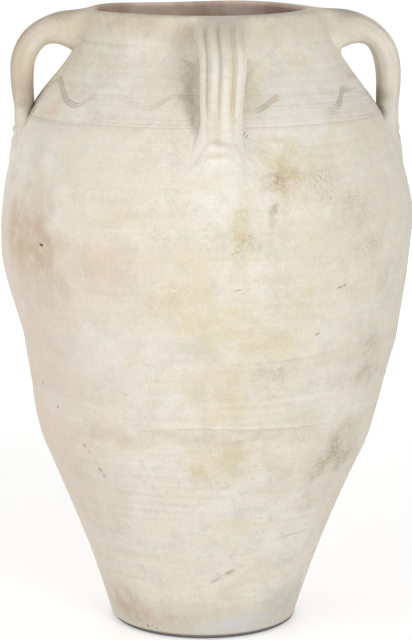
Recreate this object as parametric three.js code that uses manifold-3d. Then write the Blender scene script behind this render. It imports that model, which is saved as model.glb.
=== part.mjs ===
// Four-handled storage jar in pale-slipped earthenware, of the large Mediterranean kind.
// The potter flattens a base disc, raises the wall on it belt by belt, lutes each belt to the
// next with a coil of soft clay, throws a heavy collar for the mouth, and sets four pulled
// straps between the collar and the shoulder, each pressed into a pad of clay at its foot.
// Units are millimetres. +Z is up, the origin is the middle of the foot's underside, and the
// handles stand on +X, +Y, -X and -Y.

import * as THREE from "three";
import { mergeVertices } from "three/addons/utils/BufferGeometryUtils.js";
import Module from "manifold-3d";

// Heights of the belts, stacked from the ground up
const FLOOR_THICKNESS = 18;
const LOWER_BELT = 277;
const BELLY_BELT = 280;
const SHOULDER_BELT = 131;
const CONE_BELT = 91;
const COLLAR_HEIGHT = 43;

// Outer radii of the wall, from the foot to the mouth
const FOOT_RADIUS = 126;
const LOWER_SEAM_RADIUS = 233;
const BELLY_RADIUS = 278;
const SHOULDER_SEAM_RADIUS = 235;
const NECK_RADIUS = 171;
const RIM_RADIUS = 163;
const MOUTH_RADIUS = 140;

// Where the lower wall begins to turn up, below its seam and inside it
const LOWER_TURN_DROP = 45;
const LOWER_TURN_INSET = 13.5;

// Where the straight batter of the belly ends, above its seam and inside the widest place, and how
// far that place lies below the seam at the top of the belly
const BATTER_HEIGHT = 180;
const BATTER_INSET = 7;
const BELLY_DROP = 25;

// Height over which the collar straightens up out of the neck
const COLLAR_TURN = 22;

// Change of radius with height where a curve of the wall begins or ends
const FOOT_SLOPE = 0.29;
const LOWER_TURN_SLOPE = 0.45;
const SHOULDER_SLOPE = -0.55;
const NECK_SLOPE = -0.5;

// Clay thickness and the rounding of edges
const WALL = 14;
const FOOT_EDGE = 4;
const LIP_OUTER_ROUND = 10;
const LIP_INNER_ROUND = 7;

// Luting coils: the band that shows at a seam, and the ridge that keys into the belts
const COIL_BAND = 3;
const COIL_RIDGE = 5;
const FLOOR_COIL_LEG = 16;
const FLOOR_COIL_EDGE = 2;

// Pulled strap handles: their outer faces stand a little inside the widest place of the belly
const HANDLE_SIDES = ["right", "back", "left", "front"];
const HANDLE_INSET = 16;
const STRAP_WIDTH = 58;
const STRAP_THICKNESS = 28;
const STRAP_TOP_DROP = 4;
const TOP_ROOT_WIDTH = 78;
const TOP_ROOT_THICKNESS = 38;
const LOW_ROOT_THICKNESS = 24;
const FOOT_TUCK = 7;
const BEND_DROP = 76;
const GROOVE_DEPTH = 3.5;

// Shape of a strap, as shares: how far out its top stays level, how full its bend is, where along
// it the top root thins out, where the foot begins to thin, and how square its section is
const LEVEL_SHARE = 0.7;
const BEND_SHARE = 0.8;
const ROOT_FADE = [0.05, 0.45];
const FOOT_FADE = [0.6, 1];
const GROOVE_FADE = [0.15, 0.35];
const SECTION_POWER = 2.6;

// Thumbed pads of clay that the feet of the straps are pressed into
const PAD_RISE = 20;
const PAD_DROP = 44;
const PAD_TOP_WIDTH = 66;
const PAD_TOE_WIDTH = 104;
const PAD_CORNER = 20;
const PAD_CROWN = 15;
const PAD_EDGE = 2.5;

// Clearance between pieces that touch, and how far a blank reaches into the wall that trims it
const SEAT_GAP = 0.3;
const TRIM_DEPTH = 8;

// Facets
const TURN_STEPS = 12 * HANDLE_SIDES.length;
const STRAP_STEPS = 18;
const PAD_STEPS = 8;

// Heights that follow from the belts
const LOWER_SEAM = FLOOR_THICKNESS + LOWER_BELT;
const BELLY_SEAM = LOWER_SEAM + BELLY_BELT;
const SHOULDER_SEAM = BELLY_SEAM + SHOULDER_BELT;
const NECK_SEAM = SHOULDER_SEAM + CONE_BELT;
const JAR_HEIGHT = NECK_SEAM + COLLAR_HEIGHT;

const wasm = await Module();
wasm.setup();

// Outline of the wall: cubic stretches between stations of height, radius and slope
const batterRadius = BELLY_RADIUS - BATTER_INSET;
const batterSlope = (batterRadius - LOWER_SEAM_RADIUS) / BATTER_HEIGHT;
const footStation = { z: 0, r: FOOT_RADIUS, slope: FOOT_SLOPE };
const turnStation = {
  z: LOWER_SEAM - LOWER_TURN_DROP,
  r: LOWER_SEAM_RADIUS - LOWER_TURN_INSET,
  slope: LOWER_TURN_SLOPE,
};
const lowerStation = { z: LOWER_SEAM, r: LOWER_SEAM_RADIUS, slope: batterSlope };
const batterStation = { z: LOWER_SEAM + BATTER_HEIGHT, r: batterRadius, slope: batterSlope };
const bellyStation = { z: BELLY_SEAM - BELLY_DROP, r: BELLY_RADIUS, slope: 0 };
const shoulderStation = { z: SHOULDER_SEAM, r: SHOULDER_SEAM_RADIUS, slope: SHOULDER_SLOPE };
const neckStation = { z: NECK_SEAM, r: NECK_RADIUS, slope: NECK_SLOPE };

const stretches = [
  [footStation, turnStation],
  [turnStation, lowerStation],
  [lowerStation, batterStation],
  [batterStation, bellyStation],
  [bellyStation, shoulderStation],
  [shoulderStation, neckStation],
];

function hermite([a, b], z) {
  const h = b.z - a.z;
  const t = (z - a.z) / h;
  const fromEnd = t * t * (3 - 2 * t);
  const startSlope = t * (1 - t) * (1 - t) * h * a.slope;
  const endSlope = t * t * (t - 1) * h * b.slope;
  return a.r + (b.r - a.r) * fromEnd + startSlope + endSlope;
}

function outerRadius(z) {
  const stretch = stretches.find(([, end]) => z <= end.z) ?? stretches[stretches.length - 1];
  return hermite(stretch, z);
}

// The inner face lies one wall thickness in, measured square to the outer face.
function innerRadius(z) {
  const step = 0.5;
  const slope = (outerRadius(z + step) - outerRadius(z - step)) / (2 * step);
  return outerRadius(z) - WALL * Math.hypot(1, slope);
}

// Height on the upper half of the wall where its outer face has the given radius
function shoulderHeightAt(radius) {
  let low = bellyStation.z;
  let high = NECK_SEAM;
  for (let i = 0; i < 40; i++) {
    const middle = (low + high) / 2;
    if (outerRadius(middle) > radius) low = middle;
    else high = middle;
  }
  return (low + high) / 2;
}

function levels(from, to, count) {
  return Array.from({ length: count + 1 }, (_, i) => THREE.MathUtils.lerp(from, to, i / count));
}

// Solids of revolution: a profile in radius and height is turned about Z
function turned(profile) {
  const points = profile.map(([r, z]) => new THREE.Vector2(r, z));
  return new THREE.LatheGeometry(points, TURN_STEPS).rotateX(Math.PI / 2);
}

function turnedRing(profile) {
  return turned([...profile, profile[0]]);
}

// Belts of the wall: each edge has a V-shaped notch that the luting coil keys into
const seamReach = COIL_BAND / 2 + SEAT_GAP;

function middleRadius(z) {
  return (outerRadius(z) + innerRadius(z)) / 2;
}

const belts = [
  { name: "lower_wall", from: FLOOR_THICKNESS + SEAT_GAP, to: LOWER_SEAM - seamReach, rows: 8 },
  { name: "belly_wall", from: LOWER_SEAM + seamReach, to: BELLY_SEAM - seamReach, rows: 6 },
  { name: "shoulder_wall", from: BELLY_SEAM + seamReach, to: SHOULDER_SEAM - seamReach, rows: 4 },
  { name: "combed_cone", from: SHOULDER_SEAM + seamReach, to: NECK_SEAM - seamReach, rows: 5 },
];

function beltGeometry({ from, to, rows }, index) {
  const heights = levels(from, to, rows);
  const outside = heights.map((z) => [outerRadius(z), z]);
  const inside = heights.map((z) => [innerRadius(z), z]).reverse();
  const topNotch = [middleRadius(to), to - COIL_RIDGE];
  const bottomNotch = index === 0 ? [] : [[middleRadius(from), from + COIL_RIDGE]];
  return turnedRing([...outside, topNotch, ...inside, ...bottomNotch]);
}

function seamCoilGeometry(seam) {
  const low = seam - COIL_BAND / 2;
  const high = seam + COIL_BAND / 2;
  return turnedRing([
    [outerRadius(low), low],
    [outerRadius(high), high],
    [middleRadius(high), high + COIL_RIDGE],
    [innerRadius(high), high],
    [innerRadius(low), low],
    [middleRadius(low), low - COIL_RIDGE],
  ]);
}

function baseDiscGeometry() {
  return turned([
    [0, 0],
    [FOOT_RADIUS - FOOT_EDGE, 0],
    [outerRadius(FOOT_EDGE), FOOT_EDGE],
    [outerRadius(FLOOR_THICKNESS), FLOOR_THICKNESS],
    [0, FLOOR_THICKNESS],
  ]);
}

// Coil pressed into the angle between the floor and the wall, hollowed by the thumb
function floorCoilGeometry() {
  const bottom = FLOOR_THICKNESS + SEAT_GAP;
  const top = bottom + FLOOR_COIL_LEG;
  const cornerRadius = innerRadius(bottom) - SEAT_GAP;
  const hollow = FLOOR_COIL_LEG / 3;
  return turnedRing([
    [cornerRadius, bottom],
    [innerRadius(top) - SEAT_GAP, top],
    [innerRadius(top) - SEAT_GAP - FLOOR_COIL_EDGE, top],
    [cornerRadius - hollow, bottom + hollow],
    [cornerRadius - FLOOR_COIL_LEG, bottom + FLOOR_COIL_EDGE],
    [cornerRadius - FLOOR_COIL_LEG, bottom],
  ]);
}

// Collar with its rolled lip: the outer face from the neck seam to the crest, then the inner face
const collarFoot = NECK_SEAM + seamReach;

function collarOutside() {
  const path = new THREE.Path();
  path.moveTo(outerRadius(collarFoot), collarFoot);
  path.quadraticCurveTo(RIM_RADIUS, collarFoot + COLLAR_TURN, RIM_RADIUS, JAR_HEIGHT - LIP_OUTER_ROUND);
  path.quadraticCurveTo(RIM_RADIUS, JAR_HEIGHT, RIM_RADIUS - LIP_OUTER_ROUND, JAR_HEIGHT);
  return path.getPoints(4).map(({ x, y }) => [x, y]);
}

function collarInside() {
  const path = new THREE.Path();
  path.moveTo(MOUTH_RADIUS + LIP_INNER_ROUND, JAR_HEIGHT);
  path.quadraticCurveTo(MOUTH_RADIUS, JAR_HEIGHT, MOUTH_RADIUS, JAR_HEIGHT - LIP_INNER_ROUND);
  path.lineTo(innerRadius(collarFoot), collarFoot);
  return path.getPoints(3).map(({ x, y }) => [x, y]);
}

function rimCollarGeometry() {
  const notch = [middleRadius(collarFoot), collarFoot + COIL_RIDGE];
  return turnedRing([...collarOutside(), ...collarInside(), notch]);
}

// Joins and cuts
function solid(geometry) {
  const bare = geometry.clone();
  bare.deleteAttribute("normal");
  bare.deleteAttribute("uv");
  const merged = mergeVertices(bare, 1e-3);
  const vertProperties = merged.attributes.position.array;
  const triVerts = new Uint32Array(merged.index.array);
  return new wasm.Manifold(new wasm.Mesh({ numProp: 3, vertProperties, triVerts }));
}

function geometryOf(body) {
  const { vertProperties, triVerts } = body.getMesh();
  const geometry = new THREE.BufferGeometry();
  geometry.setAttribute("position", new THREE.BufferAttribute(vertProperties, 3));
  geometry.setIndex(new THREE.BufferAttribute(triVerts, 1));
  geometry.computeVertexNormals();
  return geometry;
}

// The whole outside of the jar, filled and grown by the seat gap, trims what sits on the wall.
function jarEnvelope() {
  const wall = belts.flatMap(({ from, to, rows }) => levels(from, to, rows)).map((z) => [outerRadius(z), z]);
  const outside = [[outerRadius(0), 0], ...wall, ...collarOutside()];
  const grown = outside.map(([r, z]) => [r + SEAT_GAP, z]);
  return solid(turned([[0, 0], ...grown, [0, JAR_HEIGHT]]));
}

// Loft through rings of equal count, with flat fans over both ends
function loft(rings) {
  const count = rings[0].length;
  const last = (rings.length - 1) * count;
  const points = rings.flat();
  const centres = [rings[0], rings[rings.length - 1]].map((ring) =>
    ring.reduce((sum, p) => sum.add(p), new THREE.Vector3()).divideScalar(count),
  );
  const startCentre = points.length;
  const endCentre = startCentre + 1;
  const faces = [];
  for (let i = 0; i < count; i++) {
    const next = (i + 1) % count;
    for (let row = 0; row < last; row += count) {
      faces.push(row + i, row + next, row + count + i);
      faces.push(row + next, row + count + next, row + count + i);
    }
    faces.push(startCentre, next, i, endCentre, last + i, last + next);
  }
  const geometry = new THREE.BufferGeometry().setFromPoints([...points, ...centres]);
  geometry.setIndex(faces);
  return geometry;
}

// Strap handle, standing on +X: its middle line runs out from the collar, bends, and drops to the wall
const strapRadius = BELLY_RADIUS - HANDLE_INSET - STRAP_THICKNESS / 2;
const rootLine = JAR_HEIGHT - STRAP_TOP_DROP - TOP_ROOT_THICKNESS / 2;
const bendEnd = JAR_HEIGHT - STRAP_TOP_DROP - BEND_DROP;
const footHeight = shoulderHeightAt(strapRadius);

function strapLine() {
  const { lerp } = THREE.MathUtils;
  const at = (r, z) => new THREE.Vector3(r, 0, z);
  const start = at(RIM_RADIUS - TRIM_DEPTH, rootLine);
  const level = at(lerp(RIM_RADIUS, strapRadius, LEVEL_SHARE), rootLine);
  const overTop = at(strapRadius, lerp(bendEnd, rootLine, BEND_SHARE));
  const bend = at(strapRadius, bendEnd);
  const down = at(strapRadius, lerp(bendEnd, footHeight, 1 / 3));
  const inward = at(strapRadius, footHeight);
  const end = at(strapRadius - FOOT_TUCK, footHeight - LOW_ROOT_THICKNESS);
  const line = new THREE.CurvePath();
  line.add(new THREE.CubicBezierCurve3(start, level, overTop, bend));
  line.add(new THREE.CubicBezierCurve3(bend, down, inward, end));
  return line;
}

// Section of the strap as shares of its half width: three finger grooves between four ridges
// on the outer face, and a plain inner face
const OUTER_FACE = [0.88, 0.75, 0.5, 0.25, 0, -0.25, -0.5, -0.75, -0.88];
const INNER_FACE = [-0.8, -0.35, 0.35, 0.8];
const GROOVES = [0.5, 0, -0.5];

function strapSection(width, thickness, grooveDepth) {
  const fullness = (share) => (1 - Math.abs(share) ** SECTION_POWER) ** (1 / SECTION_POWER);
  const outer = OUTER_FACE.map((share) => {
    const depth = GROOVES.includes(share) ? grooveDepth : 0;
    return [(share * width) / 2, (fullness(share) * thickness) / 2 - depth];
  });
  const inner = INNER_FACE.map((share) => [(share * width) / 2, (-fullness(share) * thickness) / 2]);
  return [[width / 2, 0], ...outer, [-width / 2, 0], ...inner];
}

function strapRings() {
  const { smoothstep, lerp } = THREE.MathUtils;
  const line = strapLine();
  return levels(0, 1, STRAP_STEPS).map((share) => {
    const middle = line.getPointAt(share);
    const along = line.getTangentAt(share);
    const fromRoot = smoothstep(share, ...ROOT_FADE);
    const toFoot = smoothstep(share, ...FOOT_FADE);
    const width = lerp(TOP_ROOT_WIDTH, STRAP_WIDTH, fromRoot);
    const upper = lerp(TOP_ROOT_THICKNESS, STRAP_THICKNESS, fromRoot);
    const thickness = lerp(upper, LOW_ROOT_THICKNESS, toFoot);
    const grooveDepth = GROOVE_DEPTH * smoothstep(share, ...GROOVE_FADE) * (1 - toFoot);
    return strapSection(width, thickness, grooveDepth).map(
      ([across, out]) => new THREE.Vector3(middle.x - along.z * out, across, middle.z + along.x * out),
    );
  });
}

// Pad under the foot of a strap, on +X: a fan with round toes that hugs the wall. It swells to a crown,
// where it takes up the strap, and thins to its edges.
const PAD_FACE = [-1, -0.85, -0.55, -0.2, 0.2, 0.55, 0.85, 1];

function padRings(grow) {
  const { smoothstep, lerp } = THREE.MathUtils;
  const top = footHeight + PAD_RISE + grow;
  const toe = footHeight - PAD_DROP - grow;
  return levels(toe, top, PAD_STEPS).map((z) => {
    const wall = outerRadius(z);
    const flare = 1 - smoothstep(z, toe, top);
    const corner = Math.max(0, 1 - (z - toe) / PAD_CORNER);
    const inset = PAD_CORNER * (1 - Math.sqrt(1 - corner ** 2));
    const halfWidth = lerp(PAD_TOP_WIDTH, PAD_TOE_WIDTH, flare) / 2 - inset + grow;
    const fullness = smoothstep(z, toe, footHeight) * (1 - smoothstep(z, footHeight, top));
    const swell = (PAD_CROWN - PAD_EDGE) * fullness;
    const place = (share, r) => {
      const angle = (share * halfWidth) / wall;
      return new THREE.Vector3(r * Math.cos(angle), r * Math.sin(angle), z);
    };
    const face = PAD_FACE.map((share) => place(share, wall + PAD_EDGE + grow + swell * (1 - share ** 2)));
    const back = [...PAD_FACE].reverse().map((share) => place(share, wall - TRIM_DEPTH));
    return [...face, ...back];
  });
}

// Materials: slipped earthenware outside, bare fired clay in the seams
const slip = new THREE.MeshStandardMaterial({ color: 0xe4dbc8, roughness: 0.9, metalness: 0 });
const rawClay = new THREE.MeshStandardMaterial({ color: 0xb9a48c, roughness: 0.95, metalness: 0 });

const jar = new THREE.Group();

function addPiece(name, geometry, material, parent = jar) {
  const mesh = new THREE.Mesh(geometry, material.clone());
  mesh.name = name;
  parent.add(mesh);
}

addPiece("base_disc", baseDiscGeometry(), slip);
addPiece("floor_coil", floorCoilGeometry(), rawClay);
belts.forEach((belt, index) => addPiece(belt.name, beltGeometry(belt, index), slip));
addPiece("rim_collar", rimCollarGeometry(), slip);

addPiece("lower_seam_coil", seamCoilGeometry(LOWER_SEAM), rawClay);
addPiece("belly_seam_coil", seamCoilGeometry(BELLY_SEAM), rawClay);
addPiece("shoulder_seam_coil", seamCoilGeometry(SHOULDER_SEAM), rawClay);
addPiece("neck_seam_coil", seamCoilGeometry(NECK_SEAM), rawClay);

const envelope = jarEnvelope();
const pad = geometryOf(solid(loft(padRings(0))).subtract(envelope));
const padSeat = solid(loft(padRings(SEAT_GAP)));
const strap = geometryOf(solid(loft(strapRings())).subtract(envelope).subtract(padSeat));

HANDLE_SIDES.forEach((side, index) => {
  const station = new THREE.Group();
  station.rotation.z = (index * 2 * Math.PI) / HANDLE_SIDES.length;
  addPiece(`handle_${side}`, strap, slip, station);
  addPiece(`handle_foot_${side}`, pad, slip, station);
  jar.add(station);
});

export default jar;
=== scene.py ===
import math

import bpy
import numpy as np
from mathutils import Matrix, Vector


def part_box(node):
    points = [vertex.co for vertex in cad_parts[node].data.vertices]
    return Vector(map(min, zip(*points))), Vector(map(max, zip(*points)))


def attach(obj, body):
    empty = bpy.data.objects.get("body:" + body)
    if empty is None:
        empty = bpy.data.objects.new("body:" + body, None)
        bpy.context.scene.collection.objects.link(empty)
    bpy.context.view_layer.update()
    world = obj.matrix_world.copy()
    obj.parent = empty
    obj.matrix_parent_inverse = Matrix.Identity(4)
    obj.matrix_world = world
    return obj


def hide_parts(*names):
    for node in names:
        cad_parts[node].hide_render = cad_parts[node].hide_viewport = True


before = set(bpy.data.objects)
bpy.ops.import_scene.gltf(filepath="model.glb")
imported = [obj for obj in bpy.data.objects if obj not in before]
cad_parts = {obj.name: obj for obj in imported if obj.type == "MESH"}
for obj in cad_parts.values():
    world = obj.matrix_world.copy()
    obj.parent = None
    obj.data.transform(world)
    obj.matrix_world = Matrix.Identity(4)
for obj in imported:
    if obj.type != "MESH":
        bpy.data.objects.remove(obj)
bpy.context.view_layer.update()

# Four-handled storage jar in pale-slipped earthenware. Every piece of clay that the potter makes is one
# closed mesh: the base disc, four belts of wall, the coils between them, the collar, and four straps with
# their thumbed feet. One skin, the outer face of the jar over angle and height, gives each piece its
# surface, so that the pieces meet as smoothed clay does. Lengths are metres and angles are degrees from +X.

bl_info = {
    "name": "Four-handled storage jar",
    "version": (1, 0, 0),
    "blender": (4, 5, 0),
    "location": "View3D > Sidebar > Jar",
    "description": "Builds the visible pieces of a large earthenware storage jar and the stage it stands on",
    "category": "Add Mesh",
}

# Facets: columns round the jar, points round a strap, and rows along each surface
COLUMNS = 640
STRAP_POINTS = 192
WALL_ROW = 0.003
SHOULDER_ROW = 0.002
COMB_ROW = 0.00074
FINE_ROW = 0.0012
COLLAR_ROW = 0.0013
STRAP_ROW = 0.002
INSIDE_ROWS = 8
ROOT_ROWS = 20
FOOT_ROWS = 64
SHARP_ANGLE = math.radians(70)
# Height over and under a level mark that gets fine rows, and tallest belt that needs no rows inside
MARK_BAND = 0.009
COIL_BELT = 0.01
# How much the grain of the brush strokes is drawn out along them
GRAIN_STRETCH = 0.1

# Handles: degrees round the jar, reach past the frame's, depth of the bend under the top, how square the
# bend is, how far the drop tucks in, how far the root stands to the handle's left, half the width of its
# flare, and the height where its underside dies into the cone
HANDLES = {
    "right": (0.0, 0.0045, 0.105, 0.80, 0.0105, 0.0, 0.049, 0.776),
    "back": (90.0, 0.002, 0.085, 0.70, 0.006, 0.002, 0.046, 0.778),
    "left": (180.0, -0.0005, 0.079, 0.64, 0.006, 0.0, 0.047, 0.783),
    "front": (-89.4, 0.0, 0.079, 0.72, 0.003, 0.011, 0.042, 0.777),
}

# The viewer stands a little to the left of the front handle and looks down a little.
VIEW_AZIMUTH = math.radians(-4.6)
VIEW_RIGHT = Vector((math.cos(VIEW_AZIMUTH), math.sin(VIEW_AZIMUTH), 0.0))
VIEW_BACK = Vector((math.sin(VIEW_AZIMUTH), -math.cos(VIEW_AZIMUTH), 0.0))


def length(name, description, default):
    """Property for a length in metres."""
    return bpy.props.FloatProperty(
        name=name, description=description, default=default, min=0.0, unit="LENGTH", precision=4
    )


def linear(code):
    """Linear red, green and blue of an sRGB hex code."""
    parts = [int(code[i : i + 2], 16) / 255 for i in (1, 3, 5)]
    return tuple(c / 12.92 if c <= 0.04045 else ((c + 0.055) / 1.055) ** 2.4 for c in parts)


def colour(name, description, code):
    """Property for a colour, from its sRGB hex code."""
    return bpy.props.FloatVectorProperty(
        name=name, description=description, default=linear(code), size=3, min=0.0, max=1.0, subtype="COLOR"
    )


class JarSizes(bpy.types.PropertyGroup):
    """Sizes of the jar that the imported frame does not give."""

    foot_radius: length("Foot", "Outer radius of the wall at the ground", 0.126)
    foot_edge: length("Foot edge", "Rounding under the foot", 0.005)
    turn_drop: length("Turn drop", "Depth below the lower seam where the wall starts to turn up", 0.045)
    turn_inset: length("Turn inset", "How much narrower the jar is there than at the lower seam", 0.0135)
    lower_radius: length("Lower seam", "Outer radius at the seam above the lower wall", 0.233)
    batter_radius: length("Batter", "Outer radius where the straight batter of the belly ends", 0.271)
    batter_height: length("Batter height", "Height of the straight batter above the lower seam", 0.180)
    belly_radius: length("Belly", "Outer radius at the widest place", 0.278)
    belly_drop: length("Belly drop", "Depth of the widest place below the belly seam", 0.025)
    shoulder_radius: length("Shoulder seam", "Outer radius at the seam under the combing", 0.235)
    neck_radius: length("Neck", "Outer radius at the foot of the collar", 0.171)
    rim_radius: length("Rim", "Outer radius of the collar", 0.163)
    mouth_radius: length("Mouth", "Inner radius of the collar", 0.140)
    wall: length("Wall", "Thickness of the clay", 0.014)
    coil_band: length("Coil band", "Height of a luting coil where it shows", 0.003)
    strap_width: length("Strap width", "Width of a handle at the top of its drop", 0.0585)
    strap_thickness: length("Strap thickness", "Thickness of a handle along its drop", 0.0328)
    root_width: length("Root width", "Width of a handle where it leaves the collar", 0.060)
    root_thickness: length("Root thickness", "Thickness of a handle where it leaves the collar", 0.064)
    waist_width: length("Waist width", "Width of a handle just over its foot", 0.052)
    waist_thickness: length("Waist thickness", "Thickness of a handle just over its foot", 0.0275)
    groove_depth: length("Finger grooves", "Depth of the finger grooves along a handle", 0.0031)
    comb_depth: length("Combing", "Depth of the combed lines", 0.0005)


class JarColours(bpy.types.PropertyGroup):
    """Colours of the clay and its slip."""

    slip: colour("Slip", "Weathered lime-white slip over most of the jar", "#ece4d4")
    slip_pale: colour("Pale slip", "Slip where it lies thick", "#f3eee2")
    slip_pink: colour("Pink slip", "Slip where the clay warms it", "#e9d8ca")
    slip_yellow: colour("Yellow slip", "Slip that has yellowed", "#e8dcbb")
    slip_grey: colour("Grey slip", "Slip where dust has settled", "#dad5c6")
    # Duller, darker slip over the collar and the tops of the handles
    slip_dull: colour("Dull slip", "Slip rubbed by hands", "#d5c8b2")
    speckle: colour("Speckle", "Grains of dirt in the stains", "#a08b69")
    # Dust in grooves and pits, laid also as painted shade in these hollows
    dust_and_shade: colour("Dust", "Dirt held in grooves and pits", "#9c8a74")
    # Painted contact shade along the edge that stands on the ground
    foot_contact_shade: colour("Grime", "Dirt on the edge that stands on the ground", "#626065")
    clay: colour("Bare clay", "Unslipped fired clay inside the jar", "#e6cfbe")
    clay_smoked: colour("Smoked clay", "Fired clay darkened in the kiln", "#9c8474")
    floor: colour("Floor", "Seamless paper under the jar", "#ececec")


def smooth(start, end, value):
    """Share of the way from start to end, eased at both and held past them."""
    share = np.clip((value - start) / (end - start), 0.0, 1.0)
    return share * share * (3.0 - 2.0 * share)


def swell(value, centre, width):
    """Bell that is one at its centre and falls away over its width."""
    return np.exp(-(((value - centre) / width) ** 2))


def part_way(start, end, share):
    """Value that lies a share of the way from start to end."""
    return start + (end - start) * share


def softened(values, count):
    """Values along a line, averaged over an odd count of neighbours."""
    window = np.hanning(count + 2)[1:-1]
    return np.convolve(np.pad(values, count // 2, "edge"), window / window.sum(), "valid")


def turn_from(angle, degrees):
    """Signed angle from a direction, in radians, between minus and plus half a turn."""
    return (angle - math.radians(degrees) + math.pi) % (2 * math.pi) - math.pi


def unevenness(seed, turns, pitch, count=7):
    """Smooth field over angle and height, mostly within one of zero, that closes round the jar."""
    chance = np.random.default_rng(seed)
    around = chance.integers(turns[0], turns[1] + 1, count) * chance.choice([-1, 1], count)
    upward = 2 * math.pi / (pitch * chance.uniform(0.7, 1.6, count))
    phase = chance.uniform(0, 2 * math.pi, count)

    def field(angle, z):
        terms = (np.sin(n * angle + k * z + p) for n, k, p in zip(around, upward, phase))
        return sum(terms) / math.sqrt(count)

    return field


def eased(angle, points):
    """Value at an angle on a closed line of (degrees, value) points, level at each point."""
    degrees, values = np.array(points).T
    degrees = np.append(degrees, degrees[0] + 360)
    values = np.append(values, values[0])
    turned = (np.degrees(angle) - degrees[0]) % 360 + degrees[0]
    index = np.clip(np.searchsorted(degrees, turned, side="right") - 1, 0, len(degrees) - 2)
    share = (turned - degrees[index]) / (degrees[index + 1] - degrees[index])
    return values[index] + (values[index + 1] - values[index]) * share * share * (3 - 2 * share)


def seam_height(coil):
    """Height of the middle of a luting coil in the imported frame."""
    low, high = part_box(coil)
    return (low.z + high.z) / 2


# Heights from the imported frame
FLOOR_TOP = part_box("base_disc")[1].z
LOWER_SEAM = seam_height("lower_seam_coil")
BELLY_SEAM = seam_height("belly_seam_coil")
SHOULDER_SEAM = seam_height("shoulder_seam_coil")
NECK_SEAM = seam_height("neck_seam_coil")
JAR_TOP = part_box("rim_collar")[1].z
HANDLE_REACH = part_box("handle_right")[1].x

# Slopes of the outline, radius over height
FOOT_SLOPE = 0.29
TURN_SLOPE = 0.45
SHOULDER_SLOPE = -0.55
NECK_SLOPE = -0.5

# How far the hand-built wall leans to the viewer's right, by height
LEAN = [(0.0, -0.001), (0.20, 0.0), (0.30, 0.002), (0.36, 0.0065), (0.40, 0.009), (0.46, 0.0045)]
LEAN += [(0.51, 0.0015), (0.575, 0.0045), (0.65, 0.002), (0.73, 0.0), (0.79, 0.0022), (0.86, -0.001)]

# How far the opening in the collar lies to the viewer's left of the collar's own middle
MOUTH_SHIFT = 0.006

# Ridges that the fingers leave in turning, from one turn to the next
TURNING_PITCH = 0.0125

# What varies round the jar is a list of (degrees, value) points, which eased() joins.
# Level marks of the turning: height and strength round the jar, lift of the ridge, share of dust, whether the
# dust lies over the line (1) or under it (-1), and how far it fades
LEVEL_MARKS = [
    {
        "heights": [(-180, 0.342), (-150, 0.348), (-106, 0.347), (-78, 0.353), (-62, 0.361), (-43, 0.356)]
        + [(-20, 0.350)],
        "press": [(-180, 0.7), (-150, 1.0), (-110, 0.8), (-85, 0.4), (-62, 1.0), (-30, 1.0), (60, 0.6)],
        "ridge": 0.0006,
        "dust_and_shade": 0.10,
        "side": 1,
        "fade": 0.022,
    },
    {
        "heights": [(-180, 0.405), (-88, 0.404), (-70, 0.4075), (-46, 0.418), (-33, 0.420), (0, 0.412)]
        + [(120, 0.405)],
        "press": [(-180, 0.0), (-96, 0.0), (-86, 0.8), (-50, 1.0), (-30, 0.8), (0, 0.0), (90, 0.4)]
        + [(130, 0.0)],
        "ridge": 0.0005,
        "dust_and_shade": 0.13,
        "side": -1,
        "fade": 0.024,
    },
    {
        "heights": [(-180, 0.311), (-112, 0.312), (-98, 0.316), (-78, 0.313), (-62, 0.3105), (90, 0.313)],
        "press": [(-180, 0.0), (-122, 0.0), (-104, 0.7), (-98, 1.0), (-70, 1.0), (-50, 0.2), (90, 0.6)],
        "ridge": 0.0009,
        "dust_and_shade": 0.26,
        "side": -1,
        "fade": 0.009,
    },
    {
        "heights": [(-180, 0.572), (-111, 0.568), (-94, 0.569), (-75, 0.584), (-58, 0.579), (30, 0.582)]
        + [(120, 0.570)],
        "press": [(-180, 0.4), (-120, 0.3), (-75, 1.0), (-55, 1.0), (-30, 0.4), (90, 0.8)],
        "ridge": 0.0006,
        "dust_and_shade": 0.05,
        "side": -1,
        "fade": 0.010,
    },
    {
        "heights": [(-180, 0.7035), (0, 0.7035)],
        "press": [(-180, 0.6), (-158, 1.0), (-144, 0.8), (-130, 0.35), (-118, 0.2), (-60, 0.3), (60, 0.7)],
        "ridge": 0.0004,
        "dust_and_shade": 0.50,
        "side": -1,
        "fade": 0.004,
    },
]
# How deep the crease at the foot of the collar is round the jar
CREASE = [(-180, 0.8), (-150, 0.8), (-132, 0.45), (-112, 0.25), (-60, 0.3), (-20, 0.6), (60, 0.7), (120, 0.8)]

# How hard the comb was pressed round the jar; slip fills its lines elsewhere
LOWER_PRESS = [(-180, 0.5), (-160, 0.35), (-138, 0.3), (-122, 0.55), (-106, 0.75), (-76, 0.6), (-58, 0.45)]
LOWER_PRESS += [(-40, 1.15), (-14, 1.4), (30, 0.7), (75, 0.5), (110, 0.8), (150, 0.6)]
UPPER_PRESS = [(-180, 0.4), (-166, 0.6), (-150, 0.2), (-125, 0.03), (-112, 0.4), (-100, 0.7), (-90, 0.3)]
UPPER_PRESS += [(-78, 0.06), (-50, 0.04), (-25, 0.2), (0, 0.3), (60, 0.1), (120, 0.3)]
# Combed lines: lowest line, spacing, count, press
COMB_SETS = [(0.7085, 0.0027, 13, LOWER_PRESS), (0.7440, 0.0026, 11, UPPER_PRESS)]
COMB_TOOTH = 0.0008

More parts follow.
